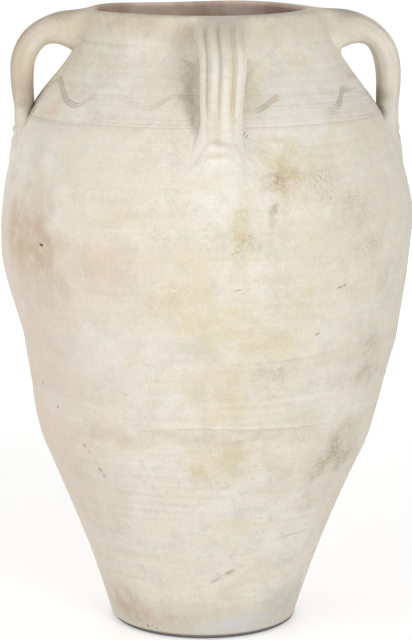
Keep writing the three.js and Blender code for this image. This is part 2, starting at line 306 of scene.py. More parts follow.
# Wavy stroke of the comb over the lines: crests and troughs round the jar, and how deep it bites
WAVE_LINE = [(-167.5, 0.752), (-142, 0.7250), (-136, 0.7365), (-125, 0.7388), (-114, 0.7262), (-105, 0.7412)]
WAVE_LINE += [(-97, 0.7410), (-78.5, 0.7238), (-67.5, 0.7395), (-60, 0.7390), (-46, 0.7225), (-34.5, 0.7420)]
WAVE_LINE += [(-11, 0.727), (5, 0.741), (21, 0.726), (38, 0.742), (53, 0.727), (70, 0.740), (86, 0.726)]
WAVE_LINE += [(102, 0.742), (118, 0.727), (135, 0.741), (150, 0.726), (166, 0.742), (180, 0.727)]
WAVE_PRESS = [(-172, 1.0), (-152, 1.5), (-144, 1.2), (-138, 0.6), (-133, 0.15), (-125, 0.32), (-115, 0.25)]
WAVE_PRESS += [(-108.5, 0.75), (-104, 0.25), (-92, 0.12)]
WAVE_PRESS += [(-80, 0.3), (-75, 1.2), (-70, 1.0), (-67, 0.05), (-50, 0.05), (-47, 0.3), (-43.5, 1.7)]
WAVE_PRESS += [(-37, 1.5), (-31, 0.3), (20, 0.9), (80, 0.6), (130, 1.0)]
WAVE_TEETH = (-0.0026, 0.0, 0.0026)
WAVE_TOOTH = 0.0006

# Feet and roots of the handles on the wall: height, half width and half height
JOINS = [(0.675, 0.052, 0.040), (0.812, 0.046, 0.034)]

# Relief that the hand leaves: wide and small dents, turning ridges, dents inside, and the wave of the rim
DENT = 0.0006
SMALL_DENT = 0.0003
TURNING_RIDGE = 0.00025
INSIDE_DENT = 0.0006
RIM_WAVE = 0.0007
# How far level and combed lines drift up and down round the jar
LINE_DRIFT = 0.0012
# A level mark: how far its ridge lies behind the line, how wide the ridge is, and the edge of its dust
RIDGE_BEHIND = 0.0016
RIDGE_WIDTH = 0.0022
DUST_EDGE = 0.0012
# Crease at the foot of the collar: height over the seam, width, depth and share of dust and painted shade
CREASE_RISE = 0.004
CREASE_WIDTH = 0.0025
CREASE_DEPTH = 0.0012
CREASE_DUST_AND_SHADE = 0.28
# Combing: how far it may reach below the shoulder seam, its share of dust and painted shade, how much deeper
# than the lines the wavy stroke bites, and how far the comb wipes brush strokes away
COMB_REACH = 0.02
COMB_DUST_AND_SHADE = 0.20
WAVE_BITE = 1.2
COMB_WIPE = 0.6
# How much one tooth of the comb differs from the next, and the height over which the combing starts
TOOTH_UNEVEN = 0.4
COMB_START = 0.01
# Where brush strokes show again round a join and where they are whole, in shares of its half size
JOIN_EDGE = (0.95, 1.7)
# Collar: turn from the neck into its side, rounding of the lip outside and at the mouth, and flat between
NECK_TURN = 0.022
LIP_ROUNDING = 0.010
MOUTH_ROUNDING = 0.004
LIP_FLAT = 0.002
# How far outward the skin faces where the wall lies flattest, which limits its thickness along the radius
FLATTEST_WALL = 0.3


class Skin:
    """The jar's outer face: an outline in radius and height, and the hand's relief over it."""

    # Steps along the outline and of the lean, and how many of them the outline's direction and the lean are
    # softened over
    STEP = 0.0005
    LEAN_STEP = 0.001
    OUTWARD_SPAN = 15
    LEAN_SPAN = 41

    def __init__(self, sizes):
        self.sizes = sizes
        batter = (sizes.batter_radius - sizes.lower_radius) / sizes.batter_height
        stations = [
            (0.0, sizes.foot_radius, FOOT_SLOPE),
            (LOWER_SEAM - sizes.turn_drop, sizes.lower_radius - sizes.turn_inset, TURN_SLOPE),
            (LOWER_SEAM, sizes.lower_radius, batter),
            (LOWER_SEAM + sizes.batter_height, sizes.batter_radius, batter),
            (BELLY_SEAM - sizes.belly_drop, sizes.belly_radius, 0.0),
            (SHOULDER_SEAM, sizes.shoulder_radius, SHOULDER_SLOPE),
            (NECK_SEAM, sizes.neck_radius, NECK_SLOPE),
        ]
        outline = np.vstack([self.stretch(a, b) for a, b in zip(stations, stations[1:])] + [self.collar()])
        keep = np.r_[True, np.hypot(*np.diff(outline, axis=0).T) > 1e-7]
        self.r, self.z = outline[keep].T
        self.s = np.r_[0.0, np.cumsum(np.hypot(np.diff(self.r), np.diff(self.z)))]
        lines = (self.r, self.z)
        along = np.array([softened(np.gradient(line, self.s), self.OUTWARD_SPAN) for line in lines])
        along /= np.hypot(*along)
        self.out_r, self.out_z = along[1], -along[0]
        self.lean_z = np.arange(0.0, LEAN[-1][0], self.LEAN_STEP)
        self.lean_x = softened(np.interp(self.lean_z, *np.array(LEAN).T), self.LEAN_SPAN)
        # Fields of chance: seed, turns round the jar, and height from one swell to the next
        self.dents = unevenness(11, (1, 4), 0.30)
        self.small_dents = unevenness(12, (3, 9), 0.09)
        self.drag = unevenness(13, (1, 3), 0.20)
        self.wander = unevenness(14, (1, 5), 5.0)
        self.rim_wave = unevenness(15, (2, 5), 5.0)

    def stretch(self, a, b):
        """Cubic from one (height, radius, slope) to the next, as rows of radius and height."""
        h = b[0] - a[0]
        t = np.linspace(0, 1, max(2, round(h / self.STEP)))
        r = a[1] + (b[1] - a[1]) * t * t * (3 - 2 * t)
        r += t * (1 - t) ** 2 * h * a[2] + t * t * (t - 1) * h * b[2]
        return np.column_stack([r, a[0] + h * t])

    def collar(self):
        """Collar from the neck up to the crest of the lip."""
        rim = self.sizes.rim_radius
        side_top = (rim, JAR_TOP - LIP_ROUNDING)
        curves = [
            ((self.sizes.neck_radius, NECK_SEAM), (rim, NECK_SEAM + NECK_TURN), side_top),
            (side_top, (rim, JAR_TOP), (rim - LIP_ROUNDING, JAR_TOP)),
        ]
        t = np.linspace(0, 1, 60)[:, None]
        return np.vstack([a * (1 - t) ** 2 + b * 2 * t * (1 - t) + c * t * t for a, b, c in np.array(curves)])

    def at_height(self, z):
        """Arc length along the outline at a height below the crest."""
        return np.interp(z, self.z, self.s)

    def radius_at(self, z):
        """Plain outer radius at a height."""
        return np.interp(z, self.z, self.r)

    def lean(self, z):
        """How far the wall leans to the viewer's right at a height."""
        return np.interp(z, self.lean_z, self.lean_x)

    def comb(self, angle, z):
        """Depth shares of the combed lines and of the wavy stroke over them."""
        lines = np.zeros(np.broadcast(angle, z).shape)
        for lowest, spacing, count, points in COMB_SETS:
            press = eased(angle, points)
            line = lowest + LINE_DRIFT * self.wander(angle, 30 * lowest)
            for tooth in range(count):
                uneven = TOOTH_UNEVEN * self.wander(angle, lowest + 3 * tooth)
                bite = press * np.clip(1 + uneven, 0.1, 1.3)
                lines += bite * swell(z, line + spacing * tooth, COMB_TOOTH)
        wave = np.zeros(lines.shape)
        line, bite = eased(angle, WAVE_LINE), eased(angle, WAVE_PRESS)
        for tooth in WAVE_TEETH:
            wave = np.maximum(wave, bite * swell(z, line + tooth, WAVE_TOOTH))
        return lines, wave

    def relief(self, angle, z):
        """Lift off the plain outline in metres, and the share of dust and painted shade it holds."""
        lift = DENT * self.dents(angle, z) + SMALL_DENT * self.small_dents(angle, z)
        drag = self.drag(angle, z)
        turning = np.sin(2 * math.pi * z / TURNING_PITCH - angle + 0.9 * drag)
        lift = lift + TURNING_RIDGE * turning * smooth(-0.4, 1.0, drag)
        dust_and_shade = np.zeros(np.broadcast(angle, z).shape)
        for mark in LEVEL_MARKS:
            fade = mark["fade"]
            drift = LINE_DRIFT * self.wander(angle, 90 * fade)
            past = mark["side"] * (z - eased(angle, mark["heights"]) - drift)
            bite = eased(angle, mark["press"])
            lift = lift + mark["ridge"] * bite * swell(past, -RIDGE_BEHIND, RIDGE_WIDTH)
            fading = np.where(past > 0, np.exp(-past / fade), swell(past, 0.0, DUST_EDGE))
            dust_and_shade = dust_and_shade + mark["dust_and_shade"] * bite * fading
        crease = eased(angle, CREASE) * swell(z, NECK_SEAM + CREASE_RISE, CREASE_WIDTH)
        lift = lift - CREASE_DEPTH * crease
        dust_and_shade = dust_and_shade + CREASE_DUST_AND_SHADE * crease
        if np.any((z > SHOULDER_SEAM - COMB_REACH) & (z < NECK_SEAM)):
            lines, wave = self.comb(angle, z)
            lift = lift - self.sizes.comb_depth * np.maximum(lines, WAVE_BITE * wave)
            dust_and_shade = dust_and_shade + COMB_DUST_AND_SHADE * lines + wave
        return lift, np.clip(dust_and_shade, 0, 1)

    def brushed(self, angle, z):
        """How clearly brush strokes show: combing, and the handles' feet and roots, wipe them away."""
        combed = smooth(SHOULDER_SEAM - COMB_START, SHOULDER_SEAM + COMB_START, z)
        shown = (1 - COMB_WIPE * combed) + 0 * angle
        for degrees, *_ in HANDLES.values():
            for height, wide, tall in JOINS:
                across = turn_from(angle, degrees) * self.radius_at(height) / wide
                shown = shown * smooth(*JOIN_EDGE, np.hypot(across, (z - height) / tall))
        return shown

    def place(self, angle, s, lift=0.0):
        """Points of the skin at angles and arc lengths, and the dust and painted shade they hold."""
        angle, s = np.broadcast_arrays(angle, s)
        r, z = np.interp(s, self.s, self.r), np.interp(s, self.s, self.z)
        raised, dust_and_shade = self.relief(angle, z)
        raised = raised + lift
        radius = r + raised * np.interp(s, self.s, self.out_r)
        height = z + raised * np.interp(s, self.s, self.out_z)
        height = height + RIM_WAVE * self.rim_wave(angle, 0.0) * smooth(NECK_SEAM, JAR_TOP, z)
        shift = self.lean(z)
        x = radius * np.cos(angle) + shift * VIEW_RIGHT.x
        y = radius * np.sin(angle) + shift * VIEW_RIGHT.y
        height = np.maximum(height, 0.0)
        return np.stack([x, y, height], -1), np.broadcast_to(dust_and_shade, angle.shape)

    def inside(self, angle, z):
        """Points of the inner face, one wall thickness in, at angles and heights."""
        s = self.at_height(z)
        outward = np.maximum(np.interp(s, self.s, self.out_r), FLATTEST_WALL)
        r = np.interp(s, self.s, self.r) - self.sizes.wall / outward
        r = r + INSIDE_DENT * self.small_dents(angle + 1.0, z)
        shift = self.lean(z)
        x = r * np.cos(angle) + shift * VIEW_RIGHT.x
        y = r * np.sin(angle) + shift * VIEW_RIGHT.y
        return np.stack(np.broadcast_arrays(x, y, z), -1)


def add_mesh(name, rows, closed, dust_and_shade, grain, brushed, materials, inside=(), caps=None):
    """Sweeps rows of points into one closed mesh, round to the first row or with a fan at each end.

    inside holds the rows whose faces take the second material, and caps the middle of each fan.
    """
    count, width = rows.shape[:2]
    points = rows.reshape(-1, 3)
    column = np.arange(width)
    after = (column + 1) % width
    faces, face_rows = [], []
    for row in range(count if closed else count - 1):
        here, above = row * width, ((row + 1) % count) * width
        faces += np.column_stack([here + column, here + after, above + after, above + column]).tolist()
        face_rows += [row] * width
    dust_and_shade, grain, brushed = dust_and_shade.reshape(-1), grain.reshape(-1, 3), brushed.reshape(-1)
    if not closed:
        points = np.vstack([points, caps])
        dust_and_shade = np.append(dust_and_shade, [0.0, 0.0])
        grain = np.vstack([grain, grain[0], grain[-1]])
        brushed = np.append(brushed, [0.0, 0.0])
        start, last = len(points) - 2, (count - 1) * width
        faces += np.column_stack([np.full(width, start), after, column]).tolist()
        faces += np.column_stack([np.full(width, start + 1), last + column, last + after]).tolist()
        face_rows += [0] * width + [count - 2] * width
    mesh = bpy.data.meshes.new(name)
    mesh.from_pydata(points.tolist(), [], faces)
    for title, values in (("dust_and_shade", dust_and_shade), ("brushed", brushed)):
        mesh.attributes.new(title, "FLOAT", "POINT").data.foreach_set("value", values.astype(np.float32))
    mesh.attributes.new("grain", "FLOAT_VECTOR", "POINT").data.foreach_set(
        "vector", grain.astype(np.float32).ravel()
    )
    for material in materials:
        mesh.materials.append(material)
    if len(inside):
        mesh.polygons.foreach_set("material_index", np.isin(face_rows, list(inside)).astype(np.int32))
    mesh.shade_smooth()
    mesh.set_sharp_from_angle(angle=SHARP_ANGLE)
    piece = bpy.data.objects.new(name, mesh)
    bpy.context.scene.collection.objects.link(piece)
    return piece


def stand_for(piece, slot, *nodes):
    """Rides a piece on the jar's one body, in place of its nodes. Its slot is not used."""
    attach(piece, "root")
    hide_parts(*nodes)


def columns():
    """Angles of the columns round the jar, as one row."""
    return np.linspace(0, 2 * math.pi, COLUMNS, endpoint=False)[None, :]


def round_grain(points):
    """Grain of the wall, where brush strokes run round the jar."""
    return points * np.array([GRAIN_STRETCH, GRAIN_STRETCH, 1.0])


def wall_ring(name, skin, low, high, row, materials):
    """Belt of wall between two heights: up the outer face and down the inner one."""
    angle = columns()
    start, end = skin.at_height(low), skin.at_height(high)
    s = np.linspace(start, end, max(2, round((end - start) / row)) + 1)
    for mark in LEVEL_MARKS:
        marked = [z for _, z in mark["heights"]]
        fine = skin.at_height(np.arange(min(marked) - MARK_BAND, max(marked) + MARK_BAND, FINE_ROW))
        fine = fine[(fine > start + row) & (fine < end - row)]
        if len(fine) and row > FINE_ROW:
            s = np.sort(np.r_[s[(s < fine[0] - row / 4) | (s > fine[-1] + row / 4)], fine])
    s = s[:, None]
    outer, dust_and_shade = skin.place(angle, s)
    z = np.linspace(high, low, INSIDE_ROWS if high - low > COIL_BELT else 2)[:, None]
    inner = skin.inside(angle, z)
    rows = np.concatenate([outer, inner])
    dust_and_shade = np.concatenate([dust_and_shade, np.zeros(inner.shape[:2])])
    brushed = np.concatenate([skin.brushed(angle, outer[..., 2]), np.ones(inner.shape[:2])])
    inner_rows = range(len(outer) - 1, len(rows))
    return add_mesh(name, rows, True, dust_and_shade, round_grain(rows), brushed, materials, inner_rows)


def level_ring(angle, radius, z):
    """Ring of points at one radius and height."""
    ring = [radius * np.cos(angle[0]), radius * np.sin(angle[0]), np.full(angle.shape[1], z)]
    return np.stack(ring, -1)


# Base disc: radius of the innermost ring under it, share of dust there, and rings on top as shares of the
# radius
UNDERSIDE_MIDDLE = 0.02
UNDERSIDE_DUST = 0.5
BASE_TOP_RINGS = (0.8, 0.5, 0.15)


class JAR_OT_base(bpy.types.Operator):
    """Base disc that the jar stands on"""

    bl_idname = "jar.base"
    bl_label = "Base disc"

    def execute(self, context):
        skin = Skin(context.scene.jar_sizes)
        angle = columns()
        edge = context.scene.jar_sizes.foot_edge
        flat = context.scene.jar_sizes.foot_radius - edge
        under = [level_ring(angle, r, 0.0) for r in np.linspace(UNDERSIDE_MIDDLE, flat, 5)]
        for turn in np.linspace(0, math.pi / 2, 5)[1:]:
            under.append(level_ring(angle, flat + edge * math.sin(turn), edge * (1 - math.cos(turn))))
        s = skin.at_height(np.linspace(1.5 * edge, FLOOR_TOP, 6))[:, None]
        side, dust_and_shade = skin.place(angle, s)
        top = skin.place(angle, s[-1:])[0][0]
        over = [top * np.array([share, share, 1.0]) for share in BASE_TOP_RINGS]
        rows = np.concatenate([np.stack(under), side, np.stack(over)])
        under_dust = np.full((len(under), COLUMNS), UNDERSIDE_DUST)
        dust_and_shade = np.concatenate([under_dust, dust_and_shade, np.zeros((len(over), COLUMNS))])
        caps = [[0.0, 0.0, 0.0], [0.0, 0.0, FLOOR_TOP]]
        inner = range(len(under) + len(side) - 1, len(rows))
        brushed = np.ones(dust_and_shade.shape)
        clay = clay_materials("lower")
        piece = add_mesh("jar_base", rows, False, dust_and_shade, round_grain(rows), brushed, clay, inner, caps)
        stand_for(piece, "slip", "base_disc")
        return {"FINISHED"}


class JAR_OT_wall(bpy.types.Operator):
    """Four belts of wall, from the foot to the collar"""

    bl_idname = "jar.wall"
    bl_label = "Belts of wall"

    def execute(self, context):
        sizes = context.scene.jar_sizes
        skin = Skin(sizes)
        half = sizes.coil_band / 2
        belts = [
            ("lower_wall", FLOOR_TOP, LOWER_SEAM - half, WALL_ROW, "lower"),
            ("belly_wall", LOWER_SEAM + half, BELLY_SEAM - half, WALL_ROW, "belly"),
            ("shoulder_wall", BELLY_SEAM + half, SHOULDER_SEAM - half, SHOULDER_ROW, "shoulder"),
            ("combed_cone", SHOULDER_SEAM + half, NECK_SEAM - half, COMB_ROW, "top"),
        ]
        for node, low, high, row, zone in belts:
            piece = wall_ring("jar_" + node, skin, low, high, row, clay_materials(zone))
            stand_for(piece, "slip", node)
        return {"FINISHED"}


# Hollow face of the coil round the floor, in shares of its leg: in from the wall, and up from the floor
FLOOR_COIL_FACE = [(1 / 3, 1 / 3), (0.6, 0.16), (1.0, 1 / 8), (1.0, 0.0)]
# Inner edge of its top, as a share of the radius of the wall there
FLOOR_COIL_TOP = 0.985


class JAR_OT_coils(bpy.types.Operator):
    """Luting coils in the seams, and the coil round the floor"""

    bl_idname = "jar.coils"
    bl_label = "Luting coils"

    def execute(self, context):
        sizes = context.scene.jar_sizes
        skin = Skin(sizes)
        half = sizes.coil_band / 2
        seams = [
            ("lower_seam_coil", LOWER_SEAM, "lower"),
            ("belly_seam_coil", BELLY_SEAM, "belly"),
            ("shoulder_seam_coil", SHOULDER_SEAM, "top"),
            ("neck_seam_coil", NECK_SEAM, "top"),
        ]
        for node, seam, zone in seams:
            piece = wall_ring("jar_" + node, skin, seam - half, seam + half, COMB_ROW, clay_materials(zone))
            stand_for(piece, "raw_clay", node)
        low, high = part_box("floor_coil")
        leg = high.z - low.z
        angle = columns()
        z = np.array([low.z, high.z, high.z])[:, None]
        against = skin.inside(angle, z)
        corner = np.hypot(against[0, 0, 0], against[0, 0, 1])
        face = [(corner - leg * inward, low.z + leg * up) for inward, up in FLOOR_COIL_FACE]
        against[2] *= np.array([FLOOR_COIL_TOP, FLOOR_COIL_TOP, 1.0])
        rows = np.concatenate([against, np.stack([level_ring(angle, r, h) for r, h in face])])
        dust_and_shade = np.zeros(rows.shape[:2])
        clay = [material("bare_clay")]
        piece = add_mesh("jar_floor_coil", rows, True, dust_and_shade, round_grain(rows), np.ones(dust_and_shade.shape), clay)
        stand_for(piece, "raw_clay", "floor_coil")
        return {"FINISHED"}


class JAR_OT_collar(bpy.types.Operator):
    """Heavy collar with its rolled lip"""

    bl_idname = "jar.collar"
    bl_label = "Collar"

    def execute(self, context):
        sizes = context.scene.jar_sizes
        skin = Skin(sizes)
        angle = columns()
        low = NECK_SEAM + sizes.coil_band / 2
        start, end = skin.at_height(low), skin.s[-1]
        s = np.linspace(start, end, round((end - start) / COLLAR_ROW))[:, None]
        outer, dust_and_shade = skin.place(angle, s)
        crest = outer[-1]
        turn = np.linspace(0, math.pi / 2, 8)[1:]
        radii = sizes.mouth_radius + MOUTH_ROUNDING * (1 - np.sin(turn))
        drops = MOUTH_ROUNDING * (1 - np.cos(turn))
        crest_radius = np.hypot(crest[:, 0], crest[:, 1])
        lip = []
        for radius, drop in zip([radii[0] + LIP_FLAT, *radii], [0.0, *drops]):
            share = radius / crest_radius
            ring = np.stack([crest[:, 0] * share, crest[:, 1] * share, crest[:, 2] - drop], -1)
            lip.append(ring - MOUTH_SHIFT * np.array(VIEW_RIGHT))
        bottom = skin.inside(angle, np.array([[low]]))[0]
        shares = np.linspace(0, 1, 10)[1:, None, None]
        throat = lip[-1] * (1 - shares) + bottom * shares
        rows = np.concatenate([outer, np.stack(lip), throat])
        dust_and_shade = np.concatenate([dust_and_shade, np.zeros((len(lip) + len(throat), COLUMNS))])
        brushed = np.ones(dust_and_shade.shape)
        brushed[: len(outer)] = skin.brushed(angle, outer[..., 2])
        inner = range(len(outer), len(rows))
        clay = clay_materials("top")
        piece = add_mesh("jar_collar", rows, True, dust_and_shade, round_grain(rows), brushed, clay, inner)
        stand_for(piece, "slip", "rim_collar")
        return {"FINISHED"}


def bezier(a, b, c, d, count=160):
    """Points along a cubic curve with four control points."""
    t = np.linspace(0, 1, count)[:, None]
    a, b, c, d = (np.array(p) for p in (a, b, c, d))
    return a * (1 - t) ** 3 + 3 * b * t * (1 - t) ** 2 + 3 * c * t * t * (1 - t) + d * t**3


def hermite(start, leave, end, arrive, share):
    """Points from start to end at shares of the way, leaving and arriving along the given vectors."""
    t = np.asarray(share)[:, None, None]
    return (
        start * (2 * t**3 - 3 * t**2 + 1)
        + leave * (t**3 - 2 * t**2 + t)
        + end * (3 * t**2 - 2 * t**3)
        + arrive * (t**3 - t**2)
    )


# Thumb presses in a handle's foot: height, place across, tilt, depth
THUMBS = [(0.6885, -0.006, -0.16, 0.0032), (0.6730, -0.006, 0.0, 0.0026)]
THUMB_REACH = 0.017
THUMB_EDGE = 0.0026
# Share of dust and painted shade in the thumb hollows
THUMB_DUST_AND_SHADE = 0.3
# Roll of clay under each thumb: depth below the press, width, and height as a share of the press's depth
ROLL_BELOW = 0.0075
ROLL_WIDTH = 0.0045
ROLL_SHARE = 0.6
# Fullness of the pad that the thumbs push down
PAD_LIFT = 0.0014
PAD_HEIGHT = 0.650
PAD_REACH = 0.016
# Creases of the fan on each side of the thumb presses: from and to, across and height, and depth
FAN_CREASES = [
    ((-0.0214, 0.684), (-0.0355, 0.661), 0.0010),
    ((0.0187, 0.686), (0.0272, 0.664), 0.0009),
]
FAN_CREASE_WIDTH = 0.0030
# Share of dust and painted shade in the fan's creases
FAN_DUST_AND_SHADE = 0.35


class Strap:
    """One pulled handle: its line out of the collar and down to the shoulder, and its sections."""

    # Squareness of the section, the reach where the strap leaves its root, the height where it enters its
    # foot, and the length of its drop
    SQUARENESS = 2.5
    ROOT_START = 0.190
    FOOT_START = 0.717
    DROP = 0.070
    # How deep in the collar the line starts, and how far past the crest of the lip the root would run
    COLLAR_BITE = 0.008
    ROOT_OVER_CREST = 0.008
    # Foot: height of its fan's middle, half the fan's height, length, and half widths to either side, which
    # change from one handle to the next
    FOOT_MIDDLE = 0.666
    FOOT_FALL = 0.042
    FOOT_LENGTH = 0.07
    FANS = ((0.050, 0.036), (0.040, 0.048))
    # How far the clay's edges lie under the skin, the step that shows how the skin runs on past them, and how
    # far inside the wall the middles of the end caps lie
    UNDER_SKIN = 0.0004
    AHEAD = 0.001
    ROOT_CAP = 0.004
    FOOT_CAP = 0.006
    # Shares of dust and painted shade in the finger grooves, and of dust in the streaks along them
    GROOVE_DUST_AND_SHADE = 0.7
    STREAK_DUST = 0.16
    # Shares of the line between which the root narrows, the waist forms, the grooves start and they fade
    ROOT_NARROWS = (0.0, 0.39)
    WAIST_FORMS = (0.5, 0.95)
    GROOVES_START = (0.16, 0.34)
    GROOVES_FADE = (0.72, 0.95)
    # Share of their depth that the grooves lose towards the foot, share they have on the underside, how sharp
    # their sides are, and how far the strap wobbles from side to side
    GROOVE_LOSS = 0.75
    UNDER_GROOVES = 0.15
    GROOVE_SIDES = 1.3
    WOBBLE = 0.0004
    # How much wider the root is at its top and the foot at its bottom, to each side
    ROOT_SPREAD = 0.004
    FAN_SPREAD = 0.006
    # Where the handles of the two curves lie: share of the way out over the bend, shares of the way down
    OVER_SHARE = 0.58
    DOWN_SHARES = (0.36, 0.64)
    # How fully the fillets of the root and of the foot keep to the skin and to the strap, as shares of their
    # reach. The root's is least under the strap.
    ROOT_HUG = (0.25, 1.0)
    ROOT_ARRIVE = 0.75
    FOOT_LEAVE = 0.8
    FOOT_ARRIVE = 0.6
    # How much the root narrows under the strap
    ROOT_TAPER = 0.25

    def __init__(self, skin, shape, seed):
        degrees, reach, bend_drop, square, tuck, self.skew, self.flare, self.root_low = shape
        self.skin, self.sizes = skin, skin.sizes
        self.angle = math.radians(degrees)
        self.chance = np.random.default_rng(seed)
        self.seed = seed
        sizes = self.sizes
        half = sizes.strap_thickness / 2
        middle, level = HANDLE_REACH + reach - half, JAR_TOP - half
        bend = JAR_TOP - bend_drop
        over = bezier(
            (sizes.rim_radius - self.COLLAR_BITE, level),
            (part_way(sizes.rim_radius, middle, self.OVER_SHARE), level),
            (middle, part_way(bend, level, square)),
            (middle, bend),
        )
        down = bezier(
            (middle, bend),
            (middle, bend - self.DOWN_SHARES[0] * self.DROP),
            (middle - tuck / 2, bend - self.DOWN_SHARES[1] * self.DROP),
            (middle - tuck, bend - self.DROP),
        )
        self.line = np.vstack([over, down[1:]])
        steps = np.hypot(*np.diff(self.line, axis=0).T)
        self.run = np.r_[0.0, np.cumsum(steps)]
        self.along = np.gradient(self.line, self.run, axis=0)
        self.along /= np.hypot(*self.along.T)[:, None]
        turn = np.linspace(0, 2 * math.pi, STRAP_POINTS, endpoint=False)
        power = 2 / self.SQUARENESS
        self.cos, self.sin = np.cos(turn), np.sin(turn)
        self.across = np.sign(self.cos) * np.abs(self.cos) ** power
        self.out = np.sign(self.sin) * np.abs(self.sin) ** power
        self.grooves = self.finger_grooves()
        self.streaks = unevenness(20 + seed, (4, 14), 0.25)
        self.fan = self.FANS[seed % 2]
        self.mirror = 1 if seed % 2 == 0 else -1

    def finger_grooves(self):
        """Centre, width and depth of each groove as shares of the half width and of the full depth."""
        drift = self.chance.normal(0, 0.02, 3)
        main = [(-0.70 + drift[0], 0.07, 0.75), (-0.15 + drift[1], 0.09, 1.0), (0.38 + drift[2], 0.06, 0.7)]
        main += [(0.51 + drift[2], 0.05, 0.6), (-0.60 + drift[0], 0.05, 0.4)]
        fine = [(c, 0.025, 0.14) for c in self.chance.uniform(-0.85, 0.85, 6)]
        return main + fine

    def world(self, x, y, z):
        """Points from the strap's own axes, out along it, to its left and up, to the jar's."""
        c, s = math.cos(self.angle), math.sin(self.angle)
        shift = self.skin.lean(z)
        return np.stack([x * c - y * s + shift * VIEW_RIGHT.x, x * s + y * c + shift * VIEW_RIGHT.y, z], -1)

    def direction(self, x, z):
        """Vector out along the strap and up, on the jar's axes."""
        return np.array([x * math.cos(self.angle), x * math.sin(self.angle), z])

    def heading(self, run):
        """Direction of the line at a length along it."""
        return self.direction(*(np.interp(run, self.run, c) for c in self.along.T))

    def free_stretch(self):
        """Lengths along the line where the strap leaves its root and where it enters its foot."""
        reaches, heights = self.line.T
        bend = np.argmax(reaches)
        start = np.interp(self.ROOT_START, reaches[:bend], self.run[:bend])
        end = np.interp(-self.FOOT_START, -heights[bend:], self.run[bend:])
        return start, end

    def ring(self, run):
        """Section at a length along the line: its points, and the dust and painted shade in its grooves."""
        share = run / self.run[-1]
        x, z = (np.interp(run, self.run, c) for c in self.line.T)
        tx, tz = (np.interp(run, self.run, c) for c in self.along.T)
        sizes = self.sizes
        from_root, to_waist = smooth(*self.ROOT_NARROWS, share), smooth(*self.WAIST_FORMS, share)
        width = part_way(sizes.root_width, sizes.strap_width, from_root)
        width = part_way(width, sizes.waist_width, to_waist)
        thick = part_way(sizes.strap_thickness, sizes.waist_thickness, to_waist)
        under = part_way(sizes.root_thickness - sizes.strap_thickness, 0.0, from_root)
        depth = smooth(*self.GROOVES_START, share)
        depth = depth * (1 - self.GROOVE_LOSS * smooth(*self.GROOVES_FADE, share))
        cut = 0.0
        for centre, wide, deep in self.grooves:
            cut = cut + deep * np.exp(-((np.abs(self.across - centre) / wide) ** self.GROOVE_SIDES))
        cut = cut * depth
        cut = np.where(self.sin > 0, cut, self.UNDER_GROOVES * cut) * smooth(0.0, 0.4, np.abs(self.out))
        y = self.across * width / 2 + self.WOBBLE * math.sin(9 * share + self.seed)
        y = y + self.skew * (1 - from_root)
        out = self.out * (thick / 2 + np.where(self.sin < 0, under, 0.0)) - sizes.groove_depth * cut
        streaks = np.clip(self.streaks(np.arctan2(self.sin, self.cos), run), 0, 1.5) * smooth(0.1, 0.3, share)
        dust_and_shade = self.GROOVE_DUST_AND_SHADE * cut + self.STREAK_DUST * streaks
        return self.world(x - tz * out, y, z + tx * out), dust_and_shade

    def on_skin(self, y, s):
        """Points just under the skin at distances across the strap and arc lengths up the outline."""
        r = np.interp(s, self.skin.s, self.skin.r)
        return self.skin.place(self.angle + y / r, s, -self.UNDER_SKIN)[0]

    def die_line(self, y, s, up):
        """Closed line where the clay dies into the skin, and the way the skin runs on past it."""
        edge = self.on_skin(y, s)
        away = self.on_skin(y + self.AHEAD * self.cos, s + up * self.AHEAD * self.sin) - edge
        return edge, away / np.linalg.norm(away, axis=1)[:, None]

    def root_line(self):
        """Where the root dies into the collar: up to the crest of the lip, and down onto the cone."""
        crest = self.skin.s[-1]
        low, high = self.skin.at_height(self.root_low), crest + self.ROOT_OVER_CREST
        s = np.minimum(part_way(low, high, (1 + self.sin) / 2), crest - 2 * self.AHEAD)
        below = self.cos * (1 + self.ROOT_TAPER * self.sin)
        side = (self.flare + self.ROOT_SPREAD * self.sin) * np.where(self.sin < 0, below, self.across)
        return self.die_line(self.skew + side, s, 1)

    def foot_line(self):
        """Where the fan of the foot dies into the shoulder."""
        side = np.where(self.cos * self.mirror < 0, *self.fan)
        y = (side + self.FAN_SPREAD * self.sin) * self.cos
        return self.die_line(y, self.skin.at_height(self.FOOT_MIDDLE - self.FOOT_FALL * self.sin), -1)

    def root_rows(self, run):
        """Fillet from the collar out to the first free section."""
        edge, away = self.root_line()
        end, cut = self.ring(run)
        reach = np.linalg.norm(end - edge, axis=1)[:, None]
        share = np.linspace(0, 1, ROOT_ROWS, endpoint=False)
        hug = reach * part_way(*self.ROOT_HUG, smooth(-1.0, -0.2, self.sin))[:, None]
        rows = hermite(edge, -away * hug, end, self.heading(run) * hug * self.ROOT_ARRIVE, share)
        return rows, np.outer(share**2, cut)

    def foot_rows(self, run):
        """Foot from the last free section down to the fan on the shoulder, with its thumb presses."""
        start, cut = self.ring(run)
        edge, away = self.foot_line()
        reach = np.linalg.norm(edge - start, axis=1)[:, None]
        share = np.linspace(0, 1, FOOT_ROWS)
        leave, arrive = self.heading(run) * reach * self.FOOT_LEAVE, away * reach * self.FOOT_ARRIVE
        rows = hermite(start, leave, edge, arrive, share)
        return rows, np.outer((1 - share) ** 2, cut) + self.press_thumbs(rows, share)

